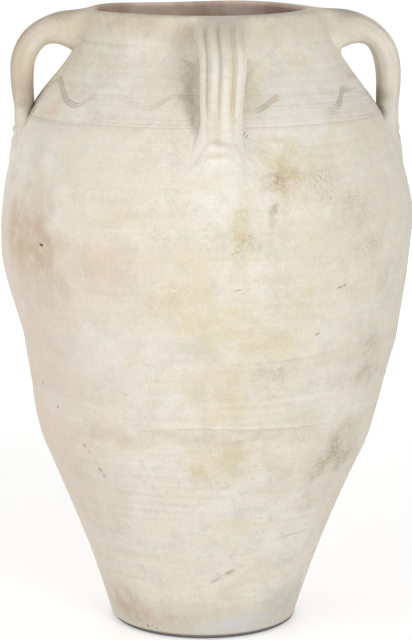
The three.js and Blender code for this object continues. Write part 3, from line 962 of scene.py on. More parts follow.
    def press_thumbs(self, rows, share):
        """Presses the thumb hollows and the fan's creases into the foot; gives the dust and painted shade
        that they hold.
        """
        c, s = math.cos(self.angle), math.sin(self.angle)
        y = self.mirror * (-rows[..., 0] * s + rows[..., 1] * c)
        z = rows[..., 2]
        lift = PAD_LIFT * swell(z, PAD_HEIGHT, PAD_REACH)
        dust_and_shade = np.zeros(z.shape)
        for height, side, tilt, depth in THUMBS:
            line = height + tilt * (y - side)
            wide = swell(y, side, THUMB_REACH)
            hollow = swell(z, line, THUMB_EDGE) * wide
            roll = swell(z, line - ROLL_BELOW, ROLL_WIDTH) * wide
            lift += depth * (ROLL_SHARE * roll - hollow)
            dust_and_shade += THUMB_DUST_AND_SHADE * hollow
        for (y0, z0), (y1, z1), depth in FAN_CREASES:
            across, fall = y1 - y0, z1 - z0
            run = ((y - y0) * across + (z - z0) * fall) / (across**2 + fall**2)
            run = np.clip(run, 0, 1)
            off = np.hypot(y - part_way(y0, y1, run), z - part_way(z0, z1, run))
            crease = swell(off, 0, FAN_CREASE_WIDTH)
            lift -= depth * crease
            dust_and_shade += FAN_DUST_AND_SHADE * crease
        ends = smooth(0, 0.15, share) * (1 - smooth(0.85, 1, share))
        shown = np.outer(ends, np.where(self.sin > 0, self.out, 0.0))
        rows[..., 0] += lift * shown * c
        rows[..., 1] += lift * shown * s
        return dust_and_shade * shown

    def grain(self, rows, lengths):
        """Grain of the strap, where brush strokes run along it."""
        grain = np.empty(rows.shape)
        grain[..., 0] = self.across * self.sizes.strap_width / 2 + self.seed
        grain[..., 1] = self.out * self.sizes.strap_thickness / 2
        grain[..., 2] = GRAIN_STRETCH * np.asarray(lengths)[:, None]
        return grain


def add_handle(strap, name, slip):
    """Handle from its root in the collar down to the waist over its foot."""
    start, end = strap.free_stretch()
    runs = np.linspace(start, end, round((end - start) / STRAP_ROW))
    free = [strap.ring(run) for run in runs]
    root, root_dust_and_shade = strap.root_rows(start)
    rows = np.concatenate([root, np.stack([points for points, _ in free])])
    dust_and_shade = np.concatenate([root_dust_and_shade, np.stack([cut for _, cut in free])])
    lengths = np.r_[np.linspace(0, start, ROOT_ROWS, endpoint=False), runs]
    brushed = np.repeat(smooth(0.2, 1.2, np.arange(len(rows)) / ROOT_ROWS), STRAP_POINTS)
    caps = [rows[0].mean(0) - strap.direction(strap.ROOT_CAP, 0), rows[-1].mean(0)]
    grain = strap.grain(rows, lengths)
    piece = add_mesh("jar_" + name, rows, False, dust_and_shade, grain, brushed, [slip], caps=caps)
    stand_for(piece, "slip", name)


def add_foot(strap, name, slip):
    """Thumbed foot that fans out on the shoulder."""
    _, end = strap.free_stretch()
    rows, dust_and_shade = strap.foot_rows(end)
    share = np.linspace(0, 1, FOOT_ROWS)
    brushed = np.repeat(1 - smooth(0.1, 0.7, share), STRAP_POINTS)
    caps = [rows[0].mean(0), rows[-1].mean(0) - strap.direction(strap.FOOT_CAP, 0)]
    grain = strap.grain(rows, end + strap.FOOT_LENGTH * share)
    piece = add_mesh("jar_" + name, rows, False, dust_and_shade, grain, brushed, [slip], caps=caps)
    stand_for(piece, "slip", name)


class JAR_OT_handles(bpy.types.Operator):
    """Four strap handles and their thumbed feet"""

    bl_idname = "jar.handles"
    bl_label = "Handles"

    def execute(self, context):
        skin = Skin(context.scene.jar_sizes)
        for seed, (side, shape) in enumerate(HANDLES.items(), start=1):
            strap = Strap(skin, shape, seed)
            add_handle(strap, "handle_" + side, slip_material("top"))
            add_foot(strap, "handle_foot_" + side, slip_material("shoulder"))
        return {"FINISHED"}


def add_node(tree, kind, inputs=None, **settings):
    """Adds a node, sets its properties, and fills its inputs with values or with other nodes' sockets."""
    node = tree.nodes.new(kind)
    for name, value in settings.items():
        setattr(node, name, value)
    for name, value in (inputs or {}).items():
        socket = node.inputs[name]
        if isinstance(value, bpy.types.NodeSocket):
            tree.links.new(value, socket)
        else:
            socket.default_value = value
    return node


# Heights that each slip material serves; it holds only the stains and marks that reach them
ZONES = {"lower": (0.0, 0.297), "belly": (0.293, 0.577), "shoulder": (0.573, 0.722), "top": (0.704, 0.850)}


def material(name):
    """Material by its name, made at its first use."""
    return bpy.data.materials.get(name) or MATERIALS[name]()


def slip_material(zone):
    """Slip for one zone of heights, made at its first use."""
    name = "slipped_earthenware_" + zone
    return bpy.data.materials.get(name) or slipped_earthenware(name, *ZONES[zone])


def clay_materials(zone):
    """Slip for the outside and bare clay for the inside."""
    return [slip_material(zone), material("bare_clay")]


def opaque(rgb):
    """Colour with full alpha."""
    return (*rgb, 1.0)


# How shares ease from one value to another
EASED = "SMOOTHSTEP"
# Sockets that Blender's Mix node has for colours: share, colour below, colour above, and result
MIX_SHARE, MIX_BELOW, MIX_ABOVE, MIX_RESULT = 0, 6, 7, 2


def coated(tree, ground, coats):
    """Colour socket of a ground under coats of (share, colour), each laid over the last."""
    body = opaque(ground)
    for share, tint in coats:
        inputs = {MIX_SHARE: share, MIX_BELOW: body, MIX_ABOVE: opaque(tint)}
        body = add_node(tree, "ShaderNodeMix", inputs, data_type="RGBA").outputs[MIX_RESULT]
    return body


# How far the edges of the stains wander, and the share of speckle that the slip has everywhere
STAIN_DRIFT = 0.03
LEAST_SPECKLE = 0.08
# Where the colour of a stain, of its speckle and of a mark starts and is full, in shares of half sizes
STAIN_EDGE = (1.3, 0.1)
SPECKLE_EDGE = (1.25, 0.1)
MARK_EDGE = (1.3, 0.3)
# Soft stains on the slip, and a few patches of painted shade as marked below: angle, height, half width, half
# height, colour, share of wash, share of speckle
STAINS = [
    (-152, 0.550, 0.060, 0.090, "#d8c4ae", 0.60, 0.0),
    (-157, 0.556, 0.048, 0.050, "#cdb89a", 0.70, 0.0),
    (-144, 0.556, 0.026, 0.060, "#cfba9f", 0.75, 0.10),
    (-136, 0.576, 0.034, 0.016, "#efe9da", 0.60, 0.0),
    (-121, 0.527, 0.055, 0.050, "#e2ccb9", 0.65, 0.0),
    (-128, 0.532, 0.020, 0.026, "#ddcab6", 0.60, 0.0),
    (-133, 0.660, 0.090, 0.045, "#e6e1d2", 0.60, 0.0),
    (-115, 0.640, 0.070, 0.040, "#e9e3d2", 0.50, 0.0),
    (-127, 0.415, 0.050, 0.040, "#f2ede4", 0.60, 0.0),
    (-118, 0.372, 0.050, 0.024, "#efe7de", 0.55, 0.0),
    (-152, 0.400, 0.050, 0.050, "#e6d3c5", 0.60, 0.0),
    (-140, 0.330, 0.080, 0.014, "#eee7d8", 0.50, 0.0),
    (-98, 0.475, 0.085, 0.045, "#e4d5b6", 0.58, 0.0),
    (-79, 0.435, 0.080, 0.036, "#e0d1a8", 0.50, 0.06),
    (-88, 0.278, 0.075, 0.030, "#d6c59c", 0.60, 0.08),
    (-73, 0.388, 0.040, 0.020, "#d6cdb8", 0.45, 0.34),
    (-65.5, 0.392, 0.026, 0.016, "#f4eee0", 0.60, 0.0),
    (-38.5, 0.408, 0.038, 0.030, "#ccc3b0", 0.45, 0.30),
    (-36.5, 0.369, 0.032, 0.017, "#bdb49c", 0.60, 0.15),
    (-60, 0.335, 0.090, 0.020, "#ece6d6", 0.50, 0.10),
    (-48, 0.600, 0.070, 0.060, "#dcd5c4", 0.40, 0.18),
    (-44, 0.264, 0.056, 0.036, "#b9a88a", 0.65, 0.45),
    (-49, 0.246, 0.034, 0.026, "#bba98d", 0.55, 0.45),
    (-39, 0.298, 0.040, 0.022, "#c3b598", 0.35, 0.25),
    (-62, 0.300, 0.060, 0.030, "#d6cbb0", 0.40, 0.24),
    (-122, 0.300, 0.100, 0.014, "#d6c5ad", 0.50, 0.10),
    (-88, 0.302, 0.085, 0.010, "#d3bfa2", 0.50, 0.12),
    (-108, 0.428, 0.045, 0.030, "#f0eae0", 0.65, 0.0),
    (-83, 0.682, 0.013, 0.016, "#ebe8df", 0.60, 0.0),
    (-57, 0.437, 0.036, 0.018, "#eee9df", 0.55, 0.0),
    (-125, 0.585, 0.036, 0.015, "#e8e4d8", 0.45, 0.0),
    (-128, 0.735, 0.080, 0.030, "#f0eadd", 0.55, 0.0),
    (-60, 0.742, 0.080, 0.036, "#f1eee8", 0.75, 0.0),
    (-58, 0.714, 0.090, 0.022, "#f1ece5", 0.75, 0.0),
    (-34, 0.728, 0.060, 0.026, "#ebe7df", 0.65, 0.0),
    (-155, 0.715, 0.050, 0.030, "#ebe2d2", 0.60, 0.0),
    # Painted shadow that the front handle casts on the cone to its left
    (-99.8, 0.745, 0.012, 0.055, "#c0b49c", 0.65, 0.10),
    # Painted shadow of the front handle beside its foot
    (-98, 0.712, 0.012, 0.034, "#b0a28a", 0.65, 0.10),
    # Painted shade on the cone just right of the front handle
    (-79, 0.765, 0.014, 0.040, "#c4bdaa", 0.75, 0.0),
    # Painted shadow on the collar left of the front handle's root
    (-104, 0.822, 0.022, 0.022, "#c3b9a6", 0.60, 0.0),
    (-52, 0.834, 0.080, 0.014, "#c9bfae", 0.60, 0.0),
    (-70, 0.722, 0.032, 0.018, "#f5f1eb", 0.70, 0.0),
    (-75, 0.704, 0.026, 0.012, "#f4efe8", 0.60, 0.0),
    (-165, 0.783, 0.030, 0.020, "#cfc3b0", 0.50, 0.0),
    (-148, 0.787, 0.040, 0.018, "#d6cbb2", 0.50, 0.0),
    (-158, 0.734, 0.030, 0.020, "#efe6d8", 0.60, 0.0),
    (-92, 0.642, 0.050, 0.020, "#e2dac3", 0.50, 0.0),
    (-104, 0.598, 0.030, 0.024, "#e3d8be", 0.50, 0.0),
    (-141, 0.482, 0.040, 0.030, "#d8c5b0", 0.50, 0.0),
    (-146, 0.532, 0.030, 0.030, "#c9b296", 0.50, 0.0),
    (-62, 0.309, 0.040, 0.012, "#efe8da", 0.50, 0.0),
    (-62.5, 0.270, 0.042, 0.036, "#f2ebdc", 0.55, 0.0),
    (-124, 0.250, 0.042, 0.030, "#f0e9e2", 0.50, 0.0),
    (-88.5, 0.337, 0.036, 0.022, "#e4d3ac", 0.50, 0.0),
    (-100, 0.175, 0.090, 0.050, "#f4efe6", 0.40, 0.0),
    (-36, 0.500, 0.036, 0.034, "#cfc6b2", 0.45, 0.10),
    (180, 0.815, 0.050, 0.036, "#c6b299", 0.60, 0.0),
    (-147, 0.622, 0.040, 0.030, "#d9cdb4", 0.50, 0.0),
    (-50, 0.500, 0.040, 0.030, "#dcd0b0", 0.50, 0.10),
    (-91, 0.258, 0.040, 0.030, "#e2cfa6", 0.50, 0.0),
    (-136, 0.552, 0.030, 0.020, "#d3c3ac", 0.50, 0.0),
    (-136, 0.832, 0.090, 0.018, "#c6b59d", 0.75, 0.0),
    (-128, 0.772, 0.050, 0.026, "#d9d0ba", 0.55, 0.0),
    (-168, 0.738, 0.030, 0.020, "#ebe4d6", 0.60, 0.0),
    (-22, 0.735, 0.040, 0.022, "#f5f1e9", 0.80, 0.0),
    (-49.5, 0.712, 0.016, 0.012, "#c6bba3", 0.60, 0.0),
    (-154, 0.713, 0.028, 0.012, "#e8cdb8", 0.60, 0.0),
    (-152, 0.747, 0.024, 0.010, "#e0cab4", 0.55, 0.0),
    (-61, 0.672, 0.050, 0.030, "#d9d0b4", 0.55, 0.10),
    (-118, 0.595, 0.050, 0.026, "#e2d4ba", 0.60, 0.0),
    (-97, 0.545, 0.045, 0.030, "#e4d7bb", 0.50, 0.0),
    (-138, 0.507, 0.030, 0.030, "#d6c6b0", 0.60, 0.0),
    (-101, 0.505, 0.060, 0.040, "#e2d0b2", 0.60, 0.0),
    (-67.5, 0.487, 0.050, 0.030, "#dccfae", 0.55, 0.0),
    (-89, 0.372, 0.050, 0.036, "#e0d0ae", 0.60, 0.06),
    (0, 0.770, 0.050, 0.060, "#efe9dc", 0.50, 0.0),
    # Dirt and painted shade in the corner where the right handle's foot meets the wall
    (-8, 0.706, 0.024, 0.014, "#5d4f3d", 0.75, 0.0),
    # Dirt and painted shade in the corner where the left handle's foot meets the wall
    (-172, 0.706, 0.018, 0.012, "#6a5a46", 0.65, 0.0),
    (-71.0, 0.660, 0.046, 0.034, "#d5caa2", 0.75, 0.15),
    (-72.5, 0.640, 0.040, 0.026, "#cfb698", 0.65, 0.50),
    (-69, 0.616, 0.032, 0.020, "#dccfa8", 0.45, 0.10),
    (-75.0, 0.645, 0.014, 0.008, "#a89474", 0.65, 0.60),
    (-76.4, 0.597, 0.012, 0.014, "#b5a58c", 0.65, 0.50),
    (-84.6, 0.601, 0.024, 0.026, "#d6cdb2", 0.55, 0.30),
    (-86, 0.580, 0.022, 0.030, "#d8cca6", 0.60, 0.15),
    (-83.5, 0.562, 0.036, 0.026, "#d2c5a4", 0.50, 0.42),
    (-85.5, 0.530, 0.016, 0.030, "#dfd5b8", 0.45, 0.10),
    (-59, 0.632, 0.040, 0.040, "#d8d0b9", 0.45, 0.34),
    (-50, 0.594, 0.040, 0.034, "#cec5ae", 0.50, 0.34),
    (-45, 0.548, 0.036, 0.034, "#cfc6ae", 0.45, 0.30),
    (-66, 0.560, 0.060, 0.050, "#e0d8be", 0.45, 0.12),
    (-88.5, 0.625, 0.010, 0.050, "#f3efe4", 0.60, 0.0),
    (-79.5, 0.665, 0.003, 0.022, "#f3eee0", 0.50, 0.0),
    (-106, 0.615, 0.006, 0.045, "#efe8d9", 0.45, 0.0),
    (-147, 0.040, 0.050, 0.036, "#c9b09b", 0.65, 0.10),
    (-122, 0.030, 0.070, 0.026, "#d0baa4", 0.60, 0.16),
    (-92, 0.046, 0.050, 0.014, "#e2d0bd", 0.45, 0.0),
    (-74, 0.016, 0.080, 0.020, "#dededf", 0.80, 0.0),
    (-42, 0.046, 0.056, 0.042, "#cccac4", 0.70, 0.0),
    (60, 0.560, 0.080, 0.060, "#dccbb2", 0.45, 0.20),
    (115, 0.420, 0.060, 0.045, "#e2d4ae", 0.45, 0.10),
    (150, 0.300, 0.090, 0.030, "#cfc2a9", 0.40, 0.20),
    (20, 0.200, 0.070, 0.040, "#d8c9b2", 0.40, 0.15),
]
# Washes on the handles, painted shade and painted highlights among them as marked below: angle, height,
# distance from the jar's axis, half width, half height, colour, share
STRAP_WASHES = [
    (180, 0.785, 0.252, 0.060, 0.065, "#cab598", 0.72),
    # Painted shade on the left handle's inner side, towards the wall
    (180, 0.732, 0.236, 0.048, 0.036, "#a58b72", 0.65),
    (180, 0.838, 0.188, 0.060, 0.016, "#bfae98", 0.60),
    (0, 0.840, 0.190, 0.070, 0.020, "#b9b2a4", 0.85),
    (0, 0.712, 0.256, 0.050, 0.026, "#f5f1e8", 0.60),
    # Dirt and painted shade on the right handle's inner side at its foot
    (0, 0.722, 0.236, 0.046, 0.014, "#a99b83", 0.60),
    (0, 0.790, 0.236, 0.060, 0.026, "#f3eee2", 0.45),
    (-86.7, 0.752, 0.262, 0.0064, 0.055, "#e4d8ad", 0.60),
    (-90.6, 0.760, 0.262, 0.0034, 0.060, "#f8f3e8", 0.50),
    # Painted highlights on the two rolls of clay under the front foot's thumb presses, this row and the next
    (-90.8, 0.6820, 0.252, 0.0140, 0.0044, "#fbf6ea", 0.70),
    (-90.8, 0.6655, 0.252, 0.0150, 0.0050, "#fbf6ea", 0.70),
]
# Half depth of a wash, out from the jar's axis
WASH_DEPTH = 0.026
# Small crisp marks: angle, height, half width, half height, slant, colour, strength
MARKS = [
    (-144.1, 0.5475, 0.0052, 0.0022, -8, "#3f3024", 1.0),
    (-141.2, 0.5570, 0.0010, 0.0009, 0, "#7d6b55", 0.8),
    (-61.6, 0.4394, 0.0048, 0.0016, 22, "#96583e", 1.0),
    (-60.3, 0.4412, 0.0030, 0.0010, 15, "#b98768", 0.7),
    (-85.7, 0.5046, 0.0070, 0.0016, 8, "#b4ab96", 0.4),
    (-89.0, 0.0912, 0.0100, 0.0034, 28, "#b4a994", 0.5),
    (-82.2, 0.1030, 0.0084, 0.0036, 28, "#988f7c", 0.55),
    (-138.1, 0.2781, 0.0036, 0.0032, 0, "#b39f8a", 0.7),
    (-136.3, 0.2708, 0.0030, 0.0026, 0, "#baa791", 0.5),
    (-133.5, 0.2465, 0.0034, 0.0036, 40, "#aa9782", 0.7),
    (-132.5, 0.2382, 0.0030, 0.0028, 0, "#b39f8a", 0.6),
    (-149.5, 0.3241, 0.0036, 0.0034, 0, "#a4927e", 0.7),
    (-157.6, 0.3508, 0.0040, 0.0036, 0, "#b3a08a", 0.6),
    (-119.0, 0.3590, 0.0030, 0.0028, 0, "#bcab94", 0.5),
    (-55.7, 0.4986, 0.0060, 0.0016, 12, "#a08a6c", 0.7),
    (-54.0, 0.5010, 0.0030, 0.0020, 30, "#97815f", 0.7),
    (-102.5, 0.5040, 0.0050, 0.0022, 0, "#f8f3e6", 0.5),
    (-94.6, 0.5682, 0.0080, 0.0018, 0, "#f8f3e6", 0.7),
    (-94.1, 0.5781, 0.0060, 0.0016, 0, "#f8f3e6", 0.6),
    (-116.5, 0.5776, 0.0300, 0.0016, 2, "#f4eee0", 0.6),
    (-112.0, 0.5700, 0.0160, 0.0018, 2, "#f4eee0", 0.5),
    (-130.0, 0.0130, 0.0026, 0.0018, 10, "#6b5f52", 0.75),
    (-124.0, 0.0115, 0.0020, 0.0016, 0, "#6b5f52", 0.65),
    (-126.5, 0.0150, 0.0014, 0.0012, 0, "#7d6f60", 0.6),
    (-52.0, 0.1485, 0.0330, 0.0011, 3, "#b3a993", 0.5),
    (-23.0, 0.7560, 0.0015, 0.0075, -16, "#85775f", 0.6),
    (-20.5, 0.7548, 0.0015, 0.0080, -17, "#7d6f58", 0.7),
    (-18.0, 0.7536, 0.0016, 0.0080, -16, "#75664f", 0.75),
    (-15.5, 0.7524, 0.0016, 0.0078, -18, "#75664f", 0.75),
    (-13.0, 0.7512, 0.0016, 0.0075, -17, "#7d6f58", 0.7),
    (-83.2, 0.6990, 0.0040, 0.0009, 55, "#9a8a70", 0.7),
    (-82.5, 0.6970, 0.0050, 0.0009, 55, "#9a8a70", 0.7),
    (-81.8, 0.6940, 0.0045, 0.0009, 55, "#9a8a70", 0.7),
    (-101.5, 0.7830, 0.0110, 0.0009, -20, "#a8997f", 0.6),
    (-101.0, 0.7795, 0.0090, 0.0009, -20, "#a8997f", 0.5),
]


class SlipCoats:
    """Coats of colour on the slip between two heights, laid in order: each a share socket and a colour."""

    # Roughness of the soft patches' noise, share of dust and painted shade in full grooves, and spacing of
    # the pits
    PATCH_ROUGHNESS = 0.66
    GROOVE_SHARE = 0.65
    PIT_SPACING = 0.020

    def __init__(self, tree, bottom, top):
        self.tree, self.bottom, self.top = tree, bottom, top
        self.skin = Skin(bpy.context.scene.jar_sizes)
        self.colours = bpy.context.scene.jar_colours
        self.coats = []
        self.place = add_node(tree, "ShaderNodeTexCoord").outputs["Object"]
        self.height = add_node(tree, "ShaderNodeSeparateXYZ", {0: self.place}).outputs["Z"]
        self.grain = add_node(tree, "ShaderNodeAttribute", attribute_name="grain").outputs["Vector"]
        self.dust_and_shade = add_node(tree, "ShaderNodeAttribute", attribute_name="dust_and_shade").outputs["Fac"]
        self.brushed = add_node(tree, "ShaderNodeAttribute", attribute_name="brushed").outputs["Fac"]
        self.fields = self.chance_fields()

    def chance_fields(self):
        """Outputs of the noises that several coats share.

        Grit in the slip is under half a millimetre; it is drawn at 2.4 mm so that it shows at this distance.
        """
        fields = {}
        # Name, what it runs over, width of the largest features in metres, detail, roughness
        for title, vector, size, detail, rough in (
            ("streaks", self.grain, 0.009, 5, 0.60),
            ("wide_streaks", self.grain, 0.034, 4, 0.55),
            ("wander", self.place, 0.040, 4, 0.60),
            ("broken", self.place, 0.024, 5, 0.70),
            ("flakes", self.place, 0.0046, 2, 0.60),
            ("grains", self.place, 0.0032, 2, 0.60),
            ("grit", self.place, 0.0024, 3, 0.55),
        ):
            inputs = {"Vector": vector, "Scale": 1 / size, "Detail": detail, "Roughness": rough}
            fields[title] = add_node(self.tree, "ShaderNodeTexNoise", inputs).outputs
        return fields

    def lay(self, tint, field, low, high, most=1.0, only=None):
        """Lays a coat whose share eases from none, where a field is low, to most, where it is high.

        A second field can hold that share back.
        """
        inputs = {"Value": field, "From Min": low, "From Max": high, "To Max": most}
        share = add_node(self.tree, "ShaderNodeMapRange", inputs, interpolation_type=EASED).outputs["Result"]
        if only is not None:
            inputs = {0: share, 1: only}
            share = add_node(self.tree, "ShaderNodeMath", inputs, operation="MULTIPLY").outputs[0]
        self.coats.append((share, tint))

    def away_from(self, vector, degrees, height, wide, tall, slant=0.0, radius=None, deep=None):
        """Distance from a place, as a share of the half width, half height and half depth there.

        The place is on the wall unless a radius is given, and the depth is ample unless it is given.
        """
        turn = math.radians(degrees)
        radius = radius or float(self.skin.radius_at(height))
        inputs = {
            "Vector": vector,
            "Location": (radius * math.cos(turn), radius * math.sin(turn), height),
            "Rotation": (math.radians(slant), 0.0, turn),
            "Scale": (deep or wide + tall, wide, tall),
        }
        local = add_node(self.tree, "ShaderNodeMapping", inputs, vector_type="TEXTURE").outputs["Vector"]
        return add_node(self.tree, "ShaderNodeVectorMath", {0: local}, operation="LENGTH").outputs["Value"]

    def reached(self, middle, reach):
        """Whether something at a height comes within these heights."""
        return self.bottom - reach < middle < self.top + reach

    def lay_patches(self):
        """Slip lies thick in patches a hand wide, flakes at their edges, and shows the clay where thin."""
        colours = self.colours
        # Width of the largest patches in metres, detail, range of the noise, share, colour
        for size, detail, low, high, most, tint in (
            (0.150, 4, 0.42, 0.64, 1.0, colours.slip_pale),
            (0.085, 5, 0.50, 0.72, 0.45, colours.slip_pink),
            (0.110, 5, 0.52, 0.72, 0.70, colours.slip_yellow),
            (0.045, 6, 0.48, 0.68, 0.70, colours.slip_grey),
            (0.028, 6, 0.50, 0.64, 0.85, colours.slip_pale),
            (0.014, 4, 0.52, 0.68, 0.60, colours.slip_grey),
            (0.009, 4, 0.55, 0.66, 0.60, colours.slip_pale),
        ):
            inputs = {"Vector": self.place, "Scale": 1 / size, "Detail": detail}
            inputs["Roughness"] = self.PATCH_ROUGHNESS
            field = add_node(self.tree, "ShaderNodeTexNoise", inputs).outputs["Fac"]
            self.lay(tint, field, low, high, most)

    def lay_streaks(self):
        """Brush and turning streaks run round the wall and along the straps."""
        for title, low, high, most, tint in (
            ("streaks", 0.50, 0.74, 0.40, self.colours.slip_grey),
            ("streaks", 0.50, 0.28, 0.50, self.colours.slip_pale),
            ("wide_streaks", 0.53, 0.72, 0.35, self.colours.slip_yellow),
        ):
            self.lay(tint, self.fields[title]["Fac"], low, high, most, only=self.brushed)

    def lay_broad_tints(self):
        """Weather has warmed the belly on the left, and the slip is greyer on the viewer's right.

        The collar and the tops of the handles are duller and darker, and the slip greys towards the foot.
        """
        inputs = {0: self.place, 1: VIEW_RIGHT}
        side = add_node(self.tree, "ShaderNodeVectorMath", inputs, operation="DOT_PRODUCT").outputs["Value"]
        inputs = {"Value": self.height, "From Min": 0.66, "From Max": 0.54}
        belly = add_node(self.tree, "ShaderNodeMapRange", inputs, interpolation_type=EASED).outputs["Result"]
        self.lay(self.colours.slip_pink, side, -0.04, -0.24, 0.65, only=belly)
        self.lay(self.colours.slip_grey, side, 0.10, 0.26, 0.35)
        self.lay(self.colours.slip_dull, self.height, NECK_SEAM - 0.004, NECK_SEAM + 0.02, 0.5)
        self.lay(self.colours.slip_grey, self.height, 0.075, 0.012, 0.8)

    def speckled(self, cover, away, most, broken):
        """Socket of a cover of speckle that one more stain adds to."""
        inputs = {"Value": away, "From Min": SPECKLE_EDGE[0], "From Max": SPECKLE_EDGE[1], "To Max": most}
        patch = add_node(self.tree, "ShaderNodeMapRange", inputs, interpolation_type=EASED).outputs["Result"]
        inputs = {0: patch, 1: broken}
        patch = add_node(self.tree, "ShaderNodeMath", inputs, operation="MULTIPLY").outputs[0]
        inputs = {0: cover, 1: patch}
        return add_node(self.tree, "ShaderNodeMath", inputs, operation="MAXIMUM").outputs[0]

    def lay_stains(self):
        """Stains have wandering, broken edges and grains about 3 mm wide; a few are painted shade. Plain
        washes lie on the handles, among them painted shade and painted highlights.
        """
        tree = self.tree
        inputs = {0: self.fields["wander"]["Color"], 1: (2 * STAIN_DRIFT,) * 3, 2: self.place}
        drift = add_node(tree, "ShaderNodeVectorMath", inputs, operation="MULTIPLY_ADD").outputs[0]
        inputs = {0: drift, 1: (STAIN_DRIFT,) * 3}
        drift = add_node(tree, "ShaderNodeVectorMath", inputs, operation="SUBTRACT").outputs[0]
        inputs = {"Value": self.fields["broken"]["Fac"], "From Min": 0.36, "From Max": 0.60, "To Min": 0.35}
        broken = add_node(tree, "ShaderNodeMapRange", inputs, interpolation_type=EASED).outputs["Result"]
        cover = LEAST_SPECKLE
        for degrees, middle, wide, tall, code, wash, speckle in STAINS:
            if not self.reached(middle, STAIN_EDGE[0] * tall + STAIN_DRIFT):
                continue
            away = self.away_from(drift, degrees, middle, wide, tall)
            self.lay(linear(code), away, *STAIN_EDGE, wash, only=broken)
            if speckle:
                cover = self.speckled(cover, away, speckle, broken)
        for degrees, middle, radius, wide, tall, code, most in STRAP_WASHES:
            if self.reached(middle, tall):
                away = self.away_from(self.place, degrees, middle, wide, tall, radius=radius, deep=WASH_DEPTH)
                self.lay(linear(code), away, *MARK_EDGE, most)
        self.lay(self.colours.speckle, self.fields["grains"]["Fac"], 0.48, 0.62, only=cover)
        self.lay(self.colours.slip_pale, self.fields["flakes"]["Fac"], 0.56, 0.64, only=cover)

    def lay_marks(self):
        """Small crisp marks: knocks, scratches, drips and flakes."""
        for degrees, middle, wide, tall, slant, code, most in MARKS:
            if self.reached(middle, wide + tall):
                away = self.away_from(self.place, degrees, middle, wide, tall, slant)
                self.lay(linear(code), away, *MARK_EDGE, most)

    def lay_dirt_and_shade(self):
        """Dust and painted shade darken the grooves and a few small pits; painted shade darkens the edge on
        the ground.
        """
        inputs = {0: self.dust_and_shade, 1: self.GROOVE_SHARE}
        held = add_node(self.tree, "ShaderNodeMath", inputs, operation="MULTIPLY").outputs[0]
        self.coats.append((held, self.colours.dust_and_shade))
        inputs = {"Vector": self.place, "Scale": 1 / self.PIT_SPACING}
        cells = add_node(self.tree, "ShaderNodeTexVoronoi", inputs).outputs
        inputs = {"Value": cells["Color"], "From Min": 0.86, "From Max": 0.90, "To Max": 0.5}
        few = add_node(self.tree, "ShaderNodeMapRange", inputs, interpolation_type=EASED).outputs["Result"]
        self.lay(self.colours.dust_and_shade, cells["Distance"], 0.10, 0.04, only=few)
        # Painted contact shade on the rounded edge that stands on the ground
        self.lay(self.colours.foot_contact_shade, self.height, 0.0074, 0.0042, 0.85)

    def roughened(self):
        """Normal socket of a surface that the brush and the grit have roughened."""
        inputs = {0: self.fields["streaks"]["Fac"], 1: self.brushed, 2: self.fields["grit"]["Fac"]}
        rise = add_node(self.tree, "ShaderNodeMath", inputs, operation="MULTIPLY_ADD").outputs[0]
        inputs = {"Strength": 0.30, "Distance": 0.0008, "Height": rise}
        return add_node(self.tree, "ShaderNodeBump", inputs).outputs["Normal"]


def slipped_earthenware(name, bottom, top):
    """Earthenware under a lime-white slip, brushed on and weathered.

    It gives the eye a chalky matt cream: soft patches of pink, yellow and grey, streaks along the turning,
    grainy stains, dust with painted shade in the hollows, painted shade by the handles and along the foot,
    and painted highlights on the front foot.
    """
    made = bpy.data.materials.new(name)
    made.use_nodes = True
    tree = made.node_tree
    shader = tree.nodes["Principled BSDF"]
    slip = SlipCoats(tree, bottom, top)
    slip.lay_patches()
    slip.lay_streaks()
    slip.lay_broad_tints()
    slip.lay_stains()
    slip.lay_marks()
    slip.lay_dirt_and_shade()
    tree.links.new(coated(tree, slip.colours.slip, slip.coats), shader.inputs["Base Color"])
    tree.links.new(slip.roughened(), shader.inputs["Normal"])
    shader.inputs["Roughness"].default_value = 0.90
    shader.inputs["IOR"].default_value = 1.5
    shader.inputs["Specular IOR Level"].default_value = 0.25
    return made


def bare_clay():
    """Unglazed fired clay, turned and left.

    It gives the eye a dull pinkish brown with soft bands 16 mm wide along the turning and smoked patches.
    """
    colours = bpy.context.scene.jar_colours
    made = bpy.data.materials.new("bare_clay")
    made.use_nodes = True
    tree = made.node_tree
    shader = tree.nodes["Principled BSDF"]
    grain = add_node(tree, "ShaderNodeAttribute", attribute_name="grain").outputs["Vector"]
    place = add_node(tree, "ShaderNodeTexCoord").outputs["Object"]
    coats = []
    # What the noise runs over, width of its largest features in metres, its range, share, colour
    for vector, size, low, high, most, tint in (
        (grain, 0.016, 0.40, 0.70, 0.35, colours.slip_grey),
        (place, 0.055, 0.42, 0.62, 0.50, colours.clay_smoked),
    ):
        inputs = {"Vector": vector, "Scale": 1 / size, "Detail": 4.0}
        field = add_node(tree, "ShaderNodeTexNoise", inputs).outputs["Fac"]
        inputs = {"Value": field, "From Min": low, "From Max": high, "To Max": most}
        share = add_node(tree, "ShaderNodeMapRange", inputs, interpolation_type=EASED).outputs["Result"]
        coats.append((share, tint))
    tree.links.new(coated(tree, colours.clay, coats), shader.inputs["Base Color"])
    shader.inputs["Roughness"].default_value = 0.95
    shader.inputs["IOR"].default_value = 1.5
    shader.inputs["Specular IOR Level"].default_value = 0.2
    return made


def background_rays(tree):
    """Socket that is one for the rays that show the background: camera, mirror and glass rays."""
    path = add_node(tree, "ShaderNodeLightPath").outputs
    seen = path["Is Camera Ray"]
    for ray in ("Is Glossy Ray", "Is Transmission Ray"):
        seen = add_node(tree, "ShaderNodeMath", {0: seen, 1: path[ray]}, operation="MAXIMUM").outputs[0]
    return seen


# Light in the paper that only the background rays see: distances from the jar where it starts to rise and is
# full, and its strength at both
GLOW_NEAR, GLOW_FAR = 1.0, 3.2
GLOW_LEAST, GLOW_MOST = 0.36, 0.66


